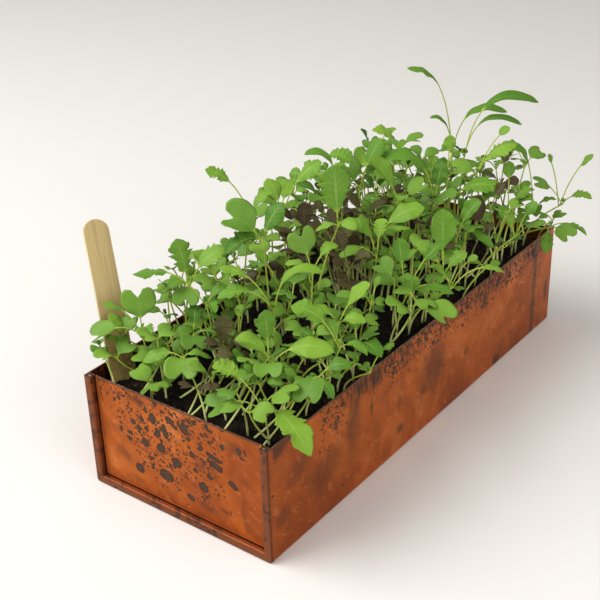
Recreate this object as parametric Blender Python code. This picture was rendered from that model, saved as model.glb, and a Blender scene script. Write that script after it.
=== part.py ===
"""Copper seed tray with its compost, a wooden plant label and a crop of salad seedlings.

Metres, +Z up. The origin is the centre of the tray's underside. X runs across the tray and
Y runs along it, from the front end at -Y to the rear end at +Y.
"""

import math
from collections import namedtuple

import bmesh
import bpy
import numpy as np
from mathutils import Matrix, Vector
from mathutils.bvhtree import BVHTree

MM = 0.001
DEG = math.pi / 180
MERGE_DISTANCE = 0.0001 * MM
SMOOTH_ANGLE = 35 * DEG

# The tray's outside
TRAY_WIDTH = 152 * MM
TRAY_LENGTH = 376 * MM
TRAY_HEIGHT = 85 * MM
SHEET = 1.0 * MM
BOTTOM_FOLD_RADIUS = 2.6 * MM
FOLD_STEPS = 4

# The bead that the trough's sheet makes round each end, over the end panel's flange
SEAM_GAP = 0.35 * MM
WIRE_DIAMETER = 2.0 * MM
WIRE_BEND_RADIUS = 1.5 * MM
WIRE_SIDES = 8
BEAD_BEND_RADIUS = 1.3 * MM
BEND_STEPS = 3
BEAD_FACE = 3 * SHEET + 3 * SEAM_GAP + WIRE_DIAMETER
BEAD_DEPTH = SHEET + 2 * SEAM_GAP + WIRE_DIAMETER
PANEL_RECESS = BEAD_DEPTH + SEAM_GAP

# Drainage holes in the base
DRAIN_DIAMETER = 4 * MM
DRAIN_ROWS = 6
DRAIN_COLUMNS = 2
DRAIN_SIDES = 10
DRAIN_CUTTER_DEPTH = 4 * SHEET

# Compost
COMPOST_GAP = 0.3 * MM
COMPOST_BELOW_RIM = 12 * MM
COMPOST_CROWN = 2.0 * MM
CLOD_HEIGHT = 0.8 * MM
CLOD_CELLS_ACROSS = 8
CLOD_CELLS_ALONG = 18
CLOD_SEED = 11

# Wooden plant label, pushed into the compost and leaning back over the left side
LABEL_LENGTH = 150 * MM
LABEL_WIDTH = 17.5 * MM
LABEL_THICKNESS = 1.8 * MM
LABEL_BURIED = 42 * MM
LABEL_FROM_FRONT = 25.5 * MM
LABEL_FACING = 66 * DEG
LABEL_LEAN = 26 * DEG
LABEL_TILT = 4 * DEG
LABEL_GAP = 0.3 * MM
LABEL_RIM_GAP = 0.5 * MM
LABEL_TRAVEL = 45 * MM
LABEL_END_STEPS = 10

# Seedlings
PLANNED_TRAY_WIDTH = 152
PLANNED_TRAY_LENGTH = 376
PLANT_SEED = 20
PLANT_TRIES = 90
STEM_RADIUS = 0.75 * MM
STALK_RADIUS = 0.5 * MM
LONG_STALK = 14 * MM
STALK_OFFSET = 0.35 * MM
NODE_SPACING = 1.6 * MM
TOP_NODE_BELOW = 0.5 * MM
STEM_TURN = 45 * DEG
STEM_STATIONS = 4
LEAF_THICKNESS = 0.5 * MM
LEAF_ARCH = 0.24
LARGEST_BLADE_SHARE = 0.85
ROOT_GAP = 0.3 * MM
LEAF_MARGIN = 0.25 * MM
LABEL_MARGIN = 0.8 * MM
LARGEST_ROLL = 18 * DEG

# The lesser seedling that springs from the foot of each planned one, with lengths in mm
COMPANION_SEED = 9
COMPANION_TRIES = 80
COMPANION_START = 0.15
COMPANION_LEAN = 0.75
COMPANION_HEIGHTS_FRONT = (16, 34)
COMPANION_HEIGHTS_REAR = (24, 66)
COMPANION_REACH = (9, 22)
COMPANION_LEAF_REACH = (12, 19)
COMPANION_LEAF_CLIMB = (-2, 9)
COMPANION_BLADE = 13
COMPANION_SPREAD = 25

# How much further each new attempt turns, shifts and shrinks a seedling that has no room
TURN_STEP = 1.6 * DEG
CLIMB_STEP = 0.35 * MM
SHRINK_STEP = 0.007
SHIFT_STEP = 0.12 * MM

# A leaf's tip lies reach out from the stem's top at its heading, and climb above it. Its blade is
# the last part of that way. Headings are in degrees from +X towards +Y, and lengths in mm. A
# stem's lean is 0 where it leaves the compost upright and 0.5 where it runs straight to its top.
Leaf = namedtuple("Leaf", "form heading reach climb blade")
Plant = namedtuple("Plant", "finish x y heading reach height leaves lean", defaults=(0.0,))
Form = namedtuple("Form", "width bend half_blade")

# Each leaf form is its blade's width as a share of its length, where its stalk bends over as a
# share of its reach, and half a blade: (along the midrib, half width, edge's lead over the midrib).
# The last point is the tip or the notch.
LEAF_FORMS = {
    "notched": Form(
        1.2,
        0.42,
        ((0, 0.12, 0), (0.2, 0.66, -0.02), (0.45, 1, 0.03), (0.66, 0.98, 0.14), (0.8, 0.5, 0.2)),
    ),
    "seed": Form(1.15, 0.42, ((0.42, 1, 0.03), (1, 0, 0))),
    "oval": Form(
        0.68,
        0.4,
        ((0, 0.12, 0), (0.14, 0.56, 0), (0.4, 1, 0), (0.68, 0.92, 0), (0.9, 0.5, 0), (1, 0, 0)),
    ),
    "strap": Form(0.32, 0.15, ((0, 0.25, 0), (0.2, 0.8, 0), (0.5, 1, 0), (0.78, 0.8, 0), (1, 0, 0))),
    "toothed": Form(
        0.72,
        0.35,
        (
            (0, 0.1, 0),
            (0.2, 0.62, 0.05),
            (0.32, 0.5, 0),
            (0.48, 1, 0.08),
            (0.6, 0.72, 0),
            (0.76, 0.8, 0.08),
            (1, 0, 0),
        ),
    ),
}

FRESH = "fresh_leaf"
DEEP = "deep_leaf"
PURPLE = "purple_leaf"


def notched(heading, reach, climb, blade):
    return Leaf("notched", heading, reach, climb, blade)


def oval(heading, reach, climb, blade):
    return Leaf("oval", heading, reach, climb, blade)


def strap(heading, reach, climb, blade):
    return Leaf("strap", heading, reach, climb, blade)


def toothed(heading, reach, climb, blade):
    return Leaf("toothed", heading, reach, climb, blade)


# The planting plan, from the front end to the rear: where each seedling's foot is in a tray of the
# planned size, its stem's heading, reach and height, and its leaves
PLANTING_PLAN = (
    Plant(FRESH, -30, -173, 55, 3, 10, (
        notched(165, 6, 15, 8), notched(30, 12, 3, 8), toothed(240, 11, -5, 7),
    )),
    Plant(FRESH, -45, -158, 150, 10, 36, (
        toothed(225, 23, 22, 15), notched(228, 33, -4, 16), notched(140, 8, 25, 19),
        toothed(325, 20, 2, 18),
    )),
    Plant(DEEP, -18, -122, 225, 4, 52, (
        toothed(215, 46, 22, 22), toothed(330, 18, 2, 12), oval(60, 16, 8, 14),
    )),
    Plant(FRESH, -52, -114, 340, 12, 58, (
        toothed(165, 12, 29, 25), toothed(50, 26, 22, 24), notched(300, 18, -8, 15),
        oval(250, 16, 2, 15),
    )),
    Plant(FRESH, -24, -166, 135, 14, 19, (
        notched(215, 20, 6, 16), oval(150, 14, 8, 12), oval(300, 14, 6, 13),
    )),
    Plant(FRESH, 14, -171, 155, 30, 32, (
        oval(220, 26, -3, 17), notched(307, 22, -7, 18), oval(40, 18, -3, 15),
    )),
    Plant(DEEP, -30, -142, 40, 9, 34, (
        notched(315, 18, -3, 15), toothed(30, 22, -2, 14), toothed(120, 14, 14, 15),
    )),
    Plant(PURPLE, -8, -146, 20, 16, 36, (
        toothed(125, 5, 21, 20), notched(220, 14, 2, 10), toothed(310, 18, -2, 15),
    )),
    Plant(FRESH, 62, -168, 150, 8, 24, (
        toothed(215, 29, 28, 20), notched(222, 34, -2, 17), toothed(345, 46, -12, 28),
        notched(5, 22, 15, 17),
    )),
    Plant(DEEP, 52, -146, 15, 28, 40, (
        notched(280, 28, -9, 19), oval(340, 16, -6, 13), oval(30, 20, 9, 16),
    )),
    Plant(FRESH, 20, -145, 15, 25, 36, (
        oval(30, 38, 10, 27), toothed(150, 10, 33, 22), notched(298, 20, 0, 15), oval(205, 24, 15, 22),
    )),
    Plant(FRESH, 62, -106, 350, 12, 44, (
        toothed(200, 32, 24, 25), toothed(165, 14, 13, 14), toothed(10, 18, -2, 14),
    )),
    Plant(FRESH, 50, -88, 345, 10, 48, (
        toothed(20, 18, 3, 14), oval(50, 21, 26, 22), oval(195, 19, 8, 15),
    )),
    Plant(DEEP, 62, -78, 320, 9, 33, (
        notched(40, 14, 8, 13), oval(345, 24, 1, 20), oval(130, 16, 18, 17),
    )),
    Plant(FRESH, 14, -98, 300, 3, 48, (
        toothed(205, 35, 28, 22), strap(37, 32, 26, 30), toothed(225, 36, 12, 20),
    )),
    Plant(DEEP, -4, -80, 255, 4, 86, (
        notched(210, 24, 14, 22), toothed(235, 26, -7, 22), oval(60, 16, 22, 24),
    )),
    Plant(FRESH, 24, -72, 335, 4, 68, (
        notched(180, 10, 26, 17), oval(220, 18, 6, 15), toothed(60, 18, 15, 14),
    )),
    Plant(FRESH, -32, -90, 205, 6, 48, (
        notched(250, 16, 4, 14), toothed(190, 20, 20, 20), oval(330, 16, 6, 15),
    )),
    Plant(PURPLE, -8, -30, 205, 2, 55, (
        toothed(205, 19, 17, 16), notched(225, 18, 11, 12), toothed(135, 7, 34, 20),
    )),
    Plant(PURPLE, 5, -12, 240, 2, 54, (
        toothed(145, 8, 28, 18), toothed(40, 15, 16, 16), notched(215, 18, 22, 14),
    )),
    Plant(PURPLE, 22, -24, 300, 6, 50, (
        toothed(170, 12, 24, 17), toothed(20, 16, 10, 15), notched(250, 14, 12, 13),
    )),
    Plant(FRESH, -52, -50, 330, 24, 90, (
        toothed(210, 30, 32, 21), oval(60, 16, 13, 18), notched(320, 20, 3, 16),
    )),
    Plant(FRESH, -32, -24, 195, 3, 76, (
        toothed(38, 29, 37, 26), notched(205, 17, 12, 14), oval(160, 18, 20, 20),
    )),
    Plant(FRESH, 16, -60, 20, 20, 96, (
        toothed(150, 8, 38, 33), oval(225, 16, -4, 15), oval(340, 18, 2, 16),
    )),
    Plant(DEEP, -14, 22, 170, 4, 80, (
        strap(215, 25, 27, 25), oval(195, 20, 7, 19), oval(340, 18, 12, 18),
    )),
    Plant(DEEP, -14, 44, 155, 3, 74, (
        oval(50, 17, 36, 25), notched(175, 12, 15, 14), oval(270, 20, 10, 18),
    )),
    Plant(DEEP, 24, 76, 25, 5, 62, (
        strap(215, 42, 33, 38), oval(90, 10, 28, 21), notched(330, 20, 6, 17),
    )),
    Plant(FRESH, 14, 48, 30, 4, 66, (
        oval(205, 24, 34, 29), notched(50, 18, 14, 16), toothed(300, 20, 12, 19),
    )),
    Plant(FRESH, 25, 0, 0, 3, 52, (
        oval(170, 14, 27, 21), notched(212, 30, 4, 18), toothed(110, 18, 20, 18),
    )),
    Plant(FRESH, 10, 20, 325, 8, 50, (
        oval(40, 36, 24, 29), toothed(25, 26, 12, 19), toothed(200, 22, 10, 18),
    )),
    Plant(DEEP, 56, -16, 0, 8, 37, (
        oval(147, 15, 36, 20), toothed(50, 27, 36, 23), oval(12, 33, 7, 19), notched(218, 22, 10, 17),
    )),
    Plant(FRESH, 62, -34, 5, 14, 38, (
        notched(355, 34, -1, 19), notched(265, 17, 5, 15), toothed(110, 16, 16, 16),
    )),
    Plant(FRESH, 60, 16, 5, 14, 40, (
        oval(135, 12, 45, 29), toothed(50, 16, 15, 17), toothed(200, 20, 19, 19),
    )),
    Plant(FRESH, 30, 84, 25, 4, 58, (
        toothed(25, 44, 14, 31), oval(115, 14, 50, 15), toothed(200, 22, 10, 18),
    )),
    Plant(DEEP, 7, 135, 70, 3, 78, (
        strap(215, 36, 66, 37), strap(35, 41, 30, 33), strap(210, 18, 26, 20),
    )),
    Plant(DEEP, 22, 124, 45, 4, 82, (
        strap(37, 54, 40, 41), strap(28, 42, 25, 31), oval(240, 20, 8, 18),
    )),
    Plant(FRESH, 40, 106, 20, 6, 78, (
        toothed(40, 30, 22, 28), oval(55, 26, 33, 12), notched(210, 18, 2, 16),
    )),
    Plant(DEEP, 60, 146, 10, 16, 42, (
        strap(205, 20, 50, 30), oval(30, 16, 8, 14), oval(300, 20, 2, 16),
    )),
    Plant(FRESH, 60, 166, 5, 30, 42, (
        toothed(200, 14, 40, 10), toothed(35, 20, 41, 16), toothed(10, 22, 8, 16),
        notched(215, 23, 19, 15),
    )),
    Plant(FRESH, 56, 160, 350, 32, 27, (
        notched(350, 20, -5, 14), toothed(290, 22, -12, 16), toothed(20, 28, -4, 13),
    )),
    Plant(FRESH, 60, 116, 15, 10, 48, (
        toothed(50, 15, 20, 16), oval(130, 11, 38, 15), oval(15, 18, 13, 18),
    )),
    Plant(FRESH, 62, 84, 40, 30, 40, (
        toothed(190, 16, 19, 19), oval(60, 15, 24, 15), notched(10, 19, 9, 15),
    )),
    Plant(FRESH, 60, -6, 15, 30, 42, (
        oval(45, 36, 8, 14), toothed(190, 18, 12, 15),
    )),
    Plant(PURPLE, 58, 76, 5, 14, 53, (
        notched(190, 12, 18, 17), toothed(60, 14, 32, 13), toothed(310, 16, 4, 14),
    )),
    Plant(PURPLE, 44, 136, 20, 8, 60, (
        toothed(95, 8, 27, 14), toothed(210, 16, 9, 14), notched(330, 16, 2, 12),
    )),
    Plant(PURPLE, -4, 34, 120, 2, 56, (
        toothed(190, 14, 16, 16), toothed(40, 16, 11, 16), notched(290, 14, 6, 13),
    )),
    Plant(PURPLE, 34, 42, 10, 6, 57, (
        toothed(195, 14, 14, 14), notched(30, 15, 4, 14), toothed(280, 16, 10, 15),
    )),
    Plant(DEEP, 12, 102, 50, 3, 63, (
        notched(190, 18, 22, 18), notched(40, 32, 17, 18), oval(290, 20, 10, 18),
    )),
    Plant(DEEP, 54, 58, 10, 8, 60, (
        oval(40, 14, 17, 20), strap(10, 25, -14, 28), notched(250, 16, 6, 16),
    )),
    Plant(FRESH, -48, 0, 200, 6, 64, (
        notched(205, 18, 5, 16), toothed(330, 22, 12, 20), oval(100, 18, 18, 18),
    )),
    Plant(DEEP, -46, 46, 190, 5, 58, (
        oval(215, 20, 12, 19), toothed(20, 22, 12, 19), notched(300, 18, 2, 16),
    )),
    Plant(FRESH, -42, 92, 190, 6, 64, (
        toothed(200, 24, 12, 21), notched(100, 18, 8, 16), oval(330, 22, 14, 20),
    )),
    Plant(FRESH, -34, 140, 180, 8, 70, (
        toothed(215, 22, 14, 20), notched(20, 18, 6, 16), oval(300, 22, 6, 20),
    )),
)


FINISHES = {
    "copper": ((0.52, 0.17, 0.075), 0.42, 1.0),
    "tinned_wire": ((0.72, 0.70, 0.66), 0.3, 1.0),
    "compost": ((0.022, 0.016, 0.012), 0.95, 0.0),
    "label_wood": ((0.55, 0.43, 0.22), 0.6, 0.0),
    "fresh_leaf": ((0.20, 0.46, 0.07), 0.5, 0.0),
    "deep_leaf": ((0.11, 0.31, 0.045), 0.5, 0.0),
    "purple_leaf": ((0.07, 0.035, 0.03), 0.5, 0.0),
}


def clear_scene():
    for old in list(bpy.data.objects):
        bpy.data.objects.remove(old)


def finish(name):
    """The named Principled material, made the first time that it is asked for."""
    made = bpy.data.materials.get(name)
    if made:
        return made
    colour, roughness, metallic = FINISHES[name]
    made = bpy.data.materials.new(name)
    made.use_nodes = True
    shader = made.node_tree.nodes["Principled BSDF"]
    shader.inputs["Base Color"].default_value = (*colour, 1.0)
    shader.inputs["Roughness"].default_value = roughness
    shader.inputs["Metallic"].default_value = metallic
    return made


def closed_mesh(name, points, faces, turn_out=True):
    """A mesh with doubled points merged and, unless they already are, its faces turned outwards."""
    mesh = bpy.data.meshes.new(name)
    mesh.from_pydata(np.asarray(points).tolist(), [], faces)
    work = bmesh.new()
    work.from_mesh(mesh)
    bmesh.ops.remove_doubles(work, verts=work.verts, dist=MERGE_DISTANCE)
    if turn_out:
        bmesh.ops.recalc_face_normals(work, faces=work.faces)
    work.to_mesh(mesh)
    work.free()
    mesh.shade_smooth()
    mesh.set_sharp_from_angle(angle=SMOOTH_ANGLE)
    return mesh


def add_piece(name, mesh, finish_name, place=None):
    piece = bpy.data.objects.new(name, mesh)
    bpy.context.scene.collection.objects.link(piece)
    piece.data.materials.append(finish(finish_name))
    if place is not None:
        piece.matrix_world = place
    return piece


def combine(piece, other, operation):
    """Joins or cuts a piece with another, exactly, and takes the other away."""
    step = piece.modifiers.new(operation.title(), "BOOLEAN")
    step.operation = operation
    step.solver = "EXACT"
    step.use_self = operation == "UNION"
    step.object = other
    bpy.context.view_layer.update()
    result = bpy.data.meshes.new_from_object(piece.evaluated_get(bpy.context.evaluated_depsgraph_get()))
    piece.modifiers.remove(step)
    piece.data = result
    bpy.data.objects.remove(other)


def fill_voids(mesh):
    """Takes away the skins of voids shut in where stalks cross, which leaves the outer skin."""
    work = bmesh.new()
    work.from_mesh(mesh)
    skins = []
    left = set(work.faces)
    while left:
        skin = {left.pop()}
        edge = set(skin)
        while edge:
            edge = {near for face in edge for side in face.edges for near in side.link_faces} - skin
            skin |= edge
        left -= skin
        skins.append(skin)
    outer = max(skins, key=len)
    inner = [face for face in work.faces if face not in outer]
    bmesh.ops.delete(work, geom=inner, context="FACES")
    work.to_mesh(mesh)
    work.free()


def grid_faces(rows, columns, wrap=False):
    """Quads of a grid of points, row by row. With wrap, each row closes on itself."""
    faces = []
    for row in range(rows - 1):
        for column in range(columns if wrap else columns - 1):
            after = (column + 1) % columns
            faces.append(
                (
                    row * columns + column,
                    row * columns + after,
                    (row + 1) * columns + after,
                    (row + 1) * columns + column,
                )
            )
    return faces


def u_path(offset, radius):
    """(x, z) down the left side, round both bottom folds and up the right side, this far inside."""
    corner = max(radius, offset)
    arc = max(radius - offset, 0.0)
    turn = np.linspace(0, math.pi / 2, FOLD_STEPS)
    left = np.stack([-TRAY_WIDTH / 2 + corner - arc * np.cos(turn), corner - arc * np.sin(turn)], 1)
    right = np.stack([-left[::-1, 0], left[::-1, 1]], 1)
    top = TRAY_WIDTH / 2 - offset
    return np.concatenate([[(-top, TRAY_HEIGHT)], left, right, [(top, TRAY_HEIGHT)]])


def arc_points(centre, radius, start, end):
    turn = np.linspace(start, end, BEND_STEPS)
    return [(centre[0] + radius * math.cos(a), centre[1] + radius * math.sin(a)) for a in turn]


def bead_section():
    """The sheet cut lengthwise, as (inward, along): the near bead, then the far one mirrored."""
    bend = BEAD_BEND_RADIUS
    near = arc_points((bend, bend), bend, math.pi, 1.5 * math.pi)
    near += arc_points((BEAD_FACE - bend, bend), bend, 1.5 * math.pi, 2 * math.pi)
    near += [
        (BEAD_FACE, BEAD_DEPTH),
        (BEAD_FACE - SHEET, BEAD_DEPTH),
        (BEAD_FACE - SHEET, SHEET),
        (SHEET, SHEET),
    ]
    low = [(inward, along - TRAY_LENGTH / 2) for inward, along in near]
    high = [(inward, -along) for inward, along in reversed(low)]
    return low + high


def make_trough():
    """Base and long sides in one folded sheet, with a hollow bead round each end."""
    section = bead_section()
    rails = [u_path(inward, BOTTOM_FOLD_RADIUS) for inward, _ in section]
    stations = len(rails[0])
    points = [
        (rails[k][station][0], along, rails[k][station][1])
        for station in range(stations)
        for k, (_, along) in enumerate(section)
    ]
    count = len(section)
    faces = grid_faces(stations, count, wrap=True)
    faces += [tuple(range(count)), tuple(range((stations - 1) * count, stations * count))]
    trough = add_piece("trough", closed_mesh("trough", points, faces), "copper")
    combine(trough, drain_cutter(), "DIFFERENCE")
    return trough


def drain_cutter():
    """One upright pin for each drainage hole, spaced evenly over the base."""
    work = bmesh.new()
    across = TRAY_WIDTH / DRAIN_COLUMNS
    along = TRAY_LENGTH / DRAIN_ROWS
    for column in range(DRAIN_COLUMNS):
        for row in range(DRAIN_ROWS):
            x = (column + 0.5) * across - TRAY_WIDTH / 2
            y = (row + 0.5) * along - TRAY_LENGTH / 2
            bmesh.ops.create_cone(
                work,
                cap_ends=True,
                segments=DRAIN_SIDES,
                radius1=DRAIN_DIAMETER / 2,
                radius2=DRAIN_DIAMETER / 2,
                depth=DRAIN_CUTTER_DEPTH,
                matrix=Matrix.Translation((x, y, SHEET / 2)),
            )
    mesh = bpy.data.meshes.new("drain_cutter")
    work.to_mesh(mesh)
    work.free()
    cutter = add_piece("drain_cutter", mesh, "copper")
    cutter.hide_render = True
    cutter.display_type = "WIRE"
    return cutter


def make_end_panel(name, end):
    """An end wall whose flange on three sides turns out into the bead. end is -1 or 1."""
    outer = u_path(SHEET + SEAM_GAP, BOTTOM_FOLD_RADIUS)
    inner = u_path(2 * SHEET + SEAM_GAP, BOTTOM_FOLD_RADIUS)
    lip = TRAY_LENGTH / 2 - SHEET - SEAM_GAP
    face = TRAY_LENGTH / 2 - PANEL_RECESS
    count = len(outer)
    rings = ((outer, lip), (outer, face - SHEET), (inner, face), (inner, lip))
    points = [(x, end * depth, z) for rail, depth in rings for x, z in rail]
    lip_out, back, front, lip_in = (range(k * count, (k + 1) * count) for k in range(4))
    faces = []
    for first, second in ((lip_out, back), (front, lip_in), (lip_in, lip_out)):
        faces += [(first[k], first[k + 1], second[k + 1], second[k]) for k in range(count - 1)]
    faces += [tuple(back), tuple(front)]
    left = (lip_out[0], lip_in[0], front[0])
    right = (front[-1], lip_in[-1], lip_out[-1])
    faces.append((*left, *right, back[-1], back[0]))
    return add_piece(name, closed_mesh(name, points, faces), "copper")


def make_bead_wire(name, end):
    """Stiffening wire inside a bead: a round wire bent to the same U as the tray."""
    inward = 2 * SHEET + 2 * SEAM_GAP + WIRE_DIAMETER / 2
    depth = TRAY_LENGTH / 2 - SHEET - SEAM_GAP - WIRE_DIAMETER / 2
    rail = u_path(inward, inward + WIRE_BEND_RADIUS)
    way = np.gradient(rail, axis=0)
    way /= np.linalg.norm(way, axis=1)[:, None]
    way[0] = (0, -1)
    way[-1] = (0, 1)
    side = np.stack([way[:, 1], -way[:, 0]], 1)
    turn = np.arange(WIRE_SIDES) * 2 * math.pi / WIRE_SIDES
    reach = WIRE_DIAMETER / 2 * np.cos(turn)
    x = rail[:, None, 0] + side[:, None, 0] * reach
    z = rail[:, None, 1] + side[:, None, 1] * reach
    y = np.broadcast_to(end * (depth + WIRE_DIAMETER / 2 * np.sin(turn)), x.shape)
    points = np.stack([x, y, z], 2).reshape(-1, 3)
    last = (len(rail) - 1) * WIRE_SIDES
    faces = grid_faces(len(rail), WIRE_SIDES, wrap=True)
    faces += [tuple(range(WIRE_SIDES)), tuple(range(last, last + WIRE_SIDES))]
    return add_piece(name, closed_mesh(name, points, faces), "tinned_wire")


def compost_grid():
    """The compost's uneven top, as points [along, across, xyz]: a low crown under random clods."""
    half_width = TRAY_WIDTH / 2 - SHEET - COMPOST_GAP
    half_length = TRAY_LENGTH / 2 - PANEL_RECESS - SHEET - COMPOST_GAP
    x = np.linspace(-half_width, half_width, CLOD_CELLS_ACROSS + 1)
    y = np.linspace(-half_length, half_length, CLOD_CELLS_ALONG + 1)
    x, y = np.meshgrid(x, y)
    clods = np.random.default_rng(CLOD_SEED).uniform(-1, 1, x.shape)
    crown = np.cos(x / half_width * math.pi / 2) - 0.5
    z = TRAY_HEIGHT - COMPOST_BELOW_RIM + COMPOST_CROWN * crown + CLOD_HEIGHT * clods
    return np.stack([x, y, z], 2)


def compost_height(top, x, y):
    """Height of the compost's top at (x, y), on the two triangles of each cell."""
    columns = top.shape[1] - 1
    rows = top.shape[0] - 1
    across = (x - top[0, 0, 0]) / (top[0, -1, 0] - top[0, 0, 0]) * columns
    along = (y - top[0, 0, 1]) / (top[-1, 0, 1] - top[0, 0, 1]) * rows
    i = int(min(max(across, 0), columns - 1e-6))
    j = int(min(max(along, 0), rows - 1e-6))
    u, v = across - i, along - j
    h00, h10, h01, h11 = top[j, i, 2], top[j, i + 1, 2], top[j + 1, i, 2], top[j + 1, i + 1, 2]
    if u >= v:
        return h00 + u * (h10 - h00) + v * (h11 - h10)
    return h00 + v * (h01 - h00) + u * (h11 - h01)


def make_compost(top):
    """A block of compost that fills the tray, with its lower edges eased off the folds."""
    rows, columns = top.shape[:2]
    points = top.reshape(-1, 3)
    faces = []
    for quad in grid_faces(rows, columns):
        faces += [(quad[0], quad[1], quad[2]), (quad[0], quad[2], quad[3])]
    edge = list(range(columns))
    edge += [row * columns + columns - 1 for row in range(1, rows)]
    edge += [(rows - 1) * columns + column for column in range(columns - 2, -1, -1)]
    edge += [row * columns for row in range(rows - 2, 0, -1)]
    floor = SHEET + COMPOST_GAP
    ease = BOTTOM_FOLD_RADIUS
    rim = points[edge]
    wall = rim.copy()
    wall[:, 2] = floor + ease
    foot = rim.copy()
    shrink = 1 - ease / np.abs(rim[:, :2]).max(axis=0)
    foot[:, :2] *= shrink
    foot[:, 2] = floor
    count = len(edge)
    base = len(points)
    rings = [edge, list(range(base, base + count)), list(range(base + count, base + 2 * count))]
    for upper, lower in ((rings[0], rings[1]), (rings[1], rings[2])):
        for k in range(count):
            after = (k + 1) % count
            faces.append((upper[k], upper[after], lower[after], lower[k]))
    faces.append(tuple(rings[2]))
    mesh = closed_mesh("compost", np.concatenate([points, wall, foot]), faces)
    return add_piece("compost", mesh, "compost")


def label_place():
    """The label's own frame: X across it, Y through it, Z up its length, origin at the compost."""
    level = Vector((math.cos(LABEL_FACING), math.sin(LABEL_FACING), 0))
    back = Vector((-math.sin(LABEL_FACING), math.cos(LABEL_FACING), 0))
    rising = Vector((0, 0, 1)) * math.cos(LABEL_LEAN) + back * math.sin(LABEL_LEAN)
    axis = rising * math.cos(LABEL_TILT) + level * math.sin(LABEL_TILT)
    across = level * math.cos(LABEL_TILT) - rising * math.sin(LABEL_TILT)
    through = axis.cross(across)
    y = LABEL_FROM_FRONT - TRAY_LENGTH / 2
    inside = -TRAY_WIDTH / 2 + SHEET + LABEL_RIM_GAP
    soil = TRAY_HEIGHT - COMPOST_BELOW_RIM
    climb = COMPOST_BELOW_RIM / axis.z
    reach = LABEL_WIDTH / 2 * abs(across.x) + LABEL_THICKNESS / 2 * abs(through.x)
    x = inside + reach + climb * abs(axis.x)
    turn = Matrix((across, through, axis)).transposed().to_4x4()
    return Matrix.Translation((x, y, soil)) @ turn


def label_outline():
    """A stick with two half-round ends, as (across, up) from the compost's level."""
    radius = LABEL_WIDTH / 2
    low = -LABEL_BURIED + radius
    high = LABEL_LENGTH - LABEL_BURIED - radius
    turn = np.linspace(0, math.pi, LABEL_END_STEPS)
    top = np.stack([radius * np.cos(turn), high + radius * np.sin(turn)], 1)
    bottom = np.stack([-radius * np.cos(turn), low - radius * np.sin(turn)], 1)
    return np.concatenate([top, bottom])


def extruded(name, outline, half_depth):
    """A flat outline given thickness, half to each side."""
    count = len(outline)
    points = [(x, y, z) for y in (-half_depth, half_depth) for x, z in outline]
    faces = [tuple(range(count)), tuple(range(count, 2 * count))]
    for k in range(count):
        after = (k + 1) % count
        faces.append((k, after, count + after, count + k))
    return closed_mesh(name, points, faces)


def make_label(place):
    mesh = extruded("plant_label", label_outline(), LABEL_THICKNESS / 2)
    return add_piece("plant_label", mesh, "label_wood", place)


def box_outline(half_width, low, high):
    return np.array([(-half_width, low), (half_width, low), (half_width, high), (-half_width, high)])


def cut_label_slot(compost, place):
    """The slot that the label slides out of."""
    outline = box_outline(LABEL_WIDTH / 2 + LABEL_GAP, -LABEL_BURIED - LABEL_GAP, LABEL_WIDTH)
    mesh = extruded("label_slot", outline, LABEL_THICKNESS / 2 + LABEL_GAP)
    cutter = add_piece("label_slot", mesh, "compost", place)
    cutter.hide_render = True
    combine(compost, cutter, "DIFFERENCE")


def outward(heading, reach, rise=0.0):
    """A step of the given reach at a heading in degrees, and of the given rise."""
    return np.array([reach * math.cos(heading * DEG), reach * math.sin(heading * DEG), rise])


def curve(start, middle, end, shares):
    """Points at the given shares of a quadratic curve drawn towards its middle control point."""
    shares = shares[:, None]
    return start * (1 - shares) ** 2 + middle * 2 * shares * (1 - shares) + end * shares**2


def stem_path(plant, foot, shares):
    top = foot + outward(plant.heading, plant.reach * MM, plant.height * MM)
    middle = foot + outward(plant.heading, plant.reach * plant.lean * MM, plant.height / 2 * MM)
    return curve(foot, middle, top, shares)


def leaf_path(start, tip, bend, arch, shares):
    """Points along a leaf: up towards its bend, a share of its reach, then over to its tip."""
    way = tip - start
    middle = start + way * (bend, bend, 1 - bend) + outward(0, 0, 2 * arch)
    return curve(start, middle, tip, shares)


def sweep(path, heading, roll, half_width, lead, half_depth):
    """A closed form of four-sided sections along a path: left edge, crest, right edge, keel.

    The left and right points lie half_width to each side and lead ahead along the path, and the
    crest and keel lie half_depth above and below it. roll turns the sections about the path.
    """
    way = np.gradient(path, axis=0)
    way /= np.linalg.norm(way, axis=1)[:, None]
    level = np.array([-math.sin(heading), math.cos(heading), 0.0])
    normal = np.cross(way, level)
    side = math.cos(roll) * level + math.sin(roll) * normal
    up = math.cos(roll) * normal - math.sin(roll) * level
    ahead = way * lead[:, None]
    rings = np.stack(
        [
            path + side * half_width[:, None] + ahead,
            path + up * half_depth[:, None],
            path - side * half_width[:, None] + ahead,
            path - up * half_depth[:, None],
        ],
        1,
    )
    last = (len(path) - 1) * 4
    faces = grid_faces(len(path), 4, wrap=True) + [(3, 2, 1, 0)]
    if half_depth[-1] > 0:
        faces.append((last, last + 1, last + 2, last + 3))
    return rings.reshape(-1, 3), faces


def stem_sweep(plant, foot, margin):
    path = stem_path(plant, foot, np.linspace(0, 1, STEM_STATIONS))
    radius = np.linspace(STEM_RADIUS, STALK_RADIUS, STEM_STATIONS) + margin
    return path, sweep(path, plant.heading * DEG, STEM_TURN, radius, radius * 0, radius)


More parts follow.
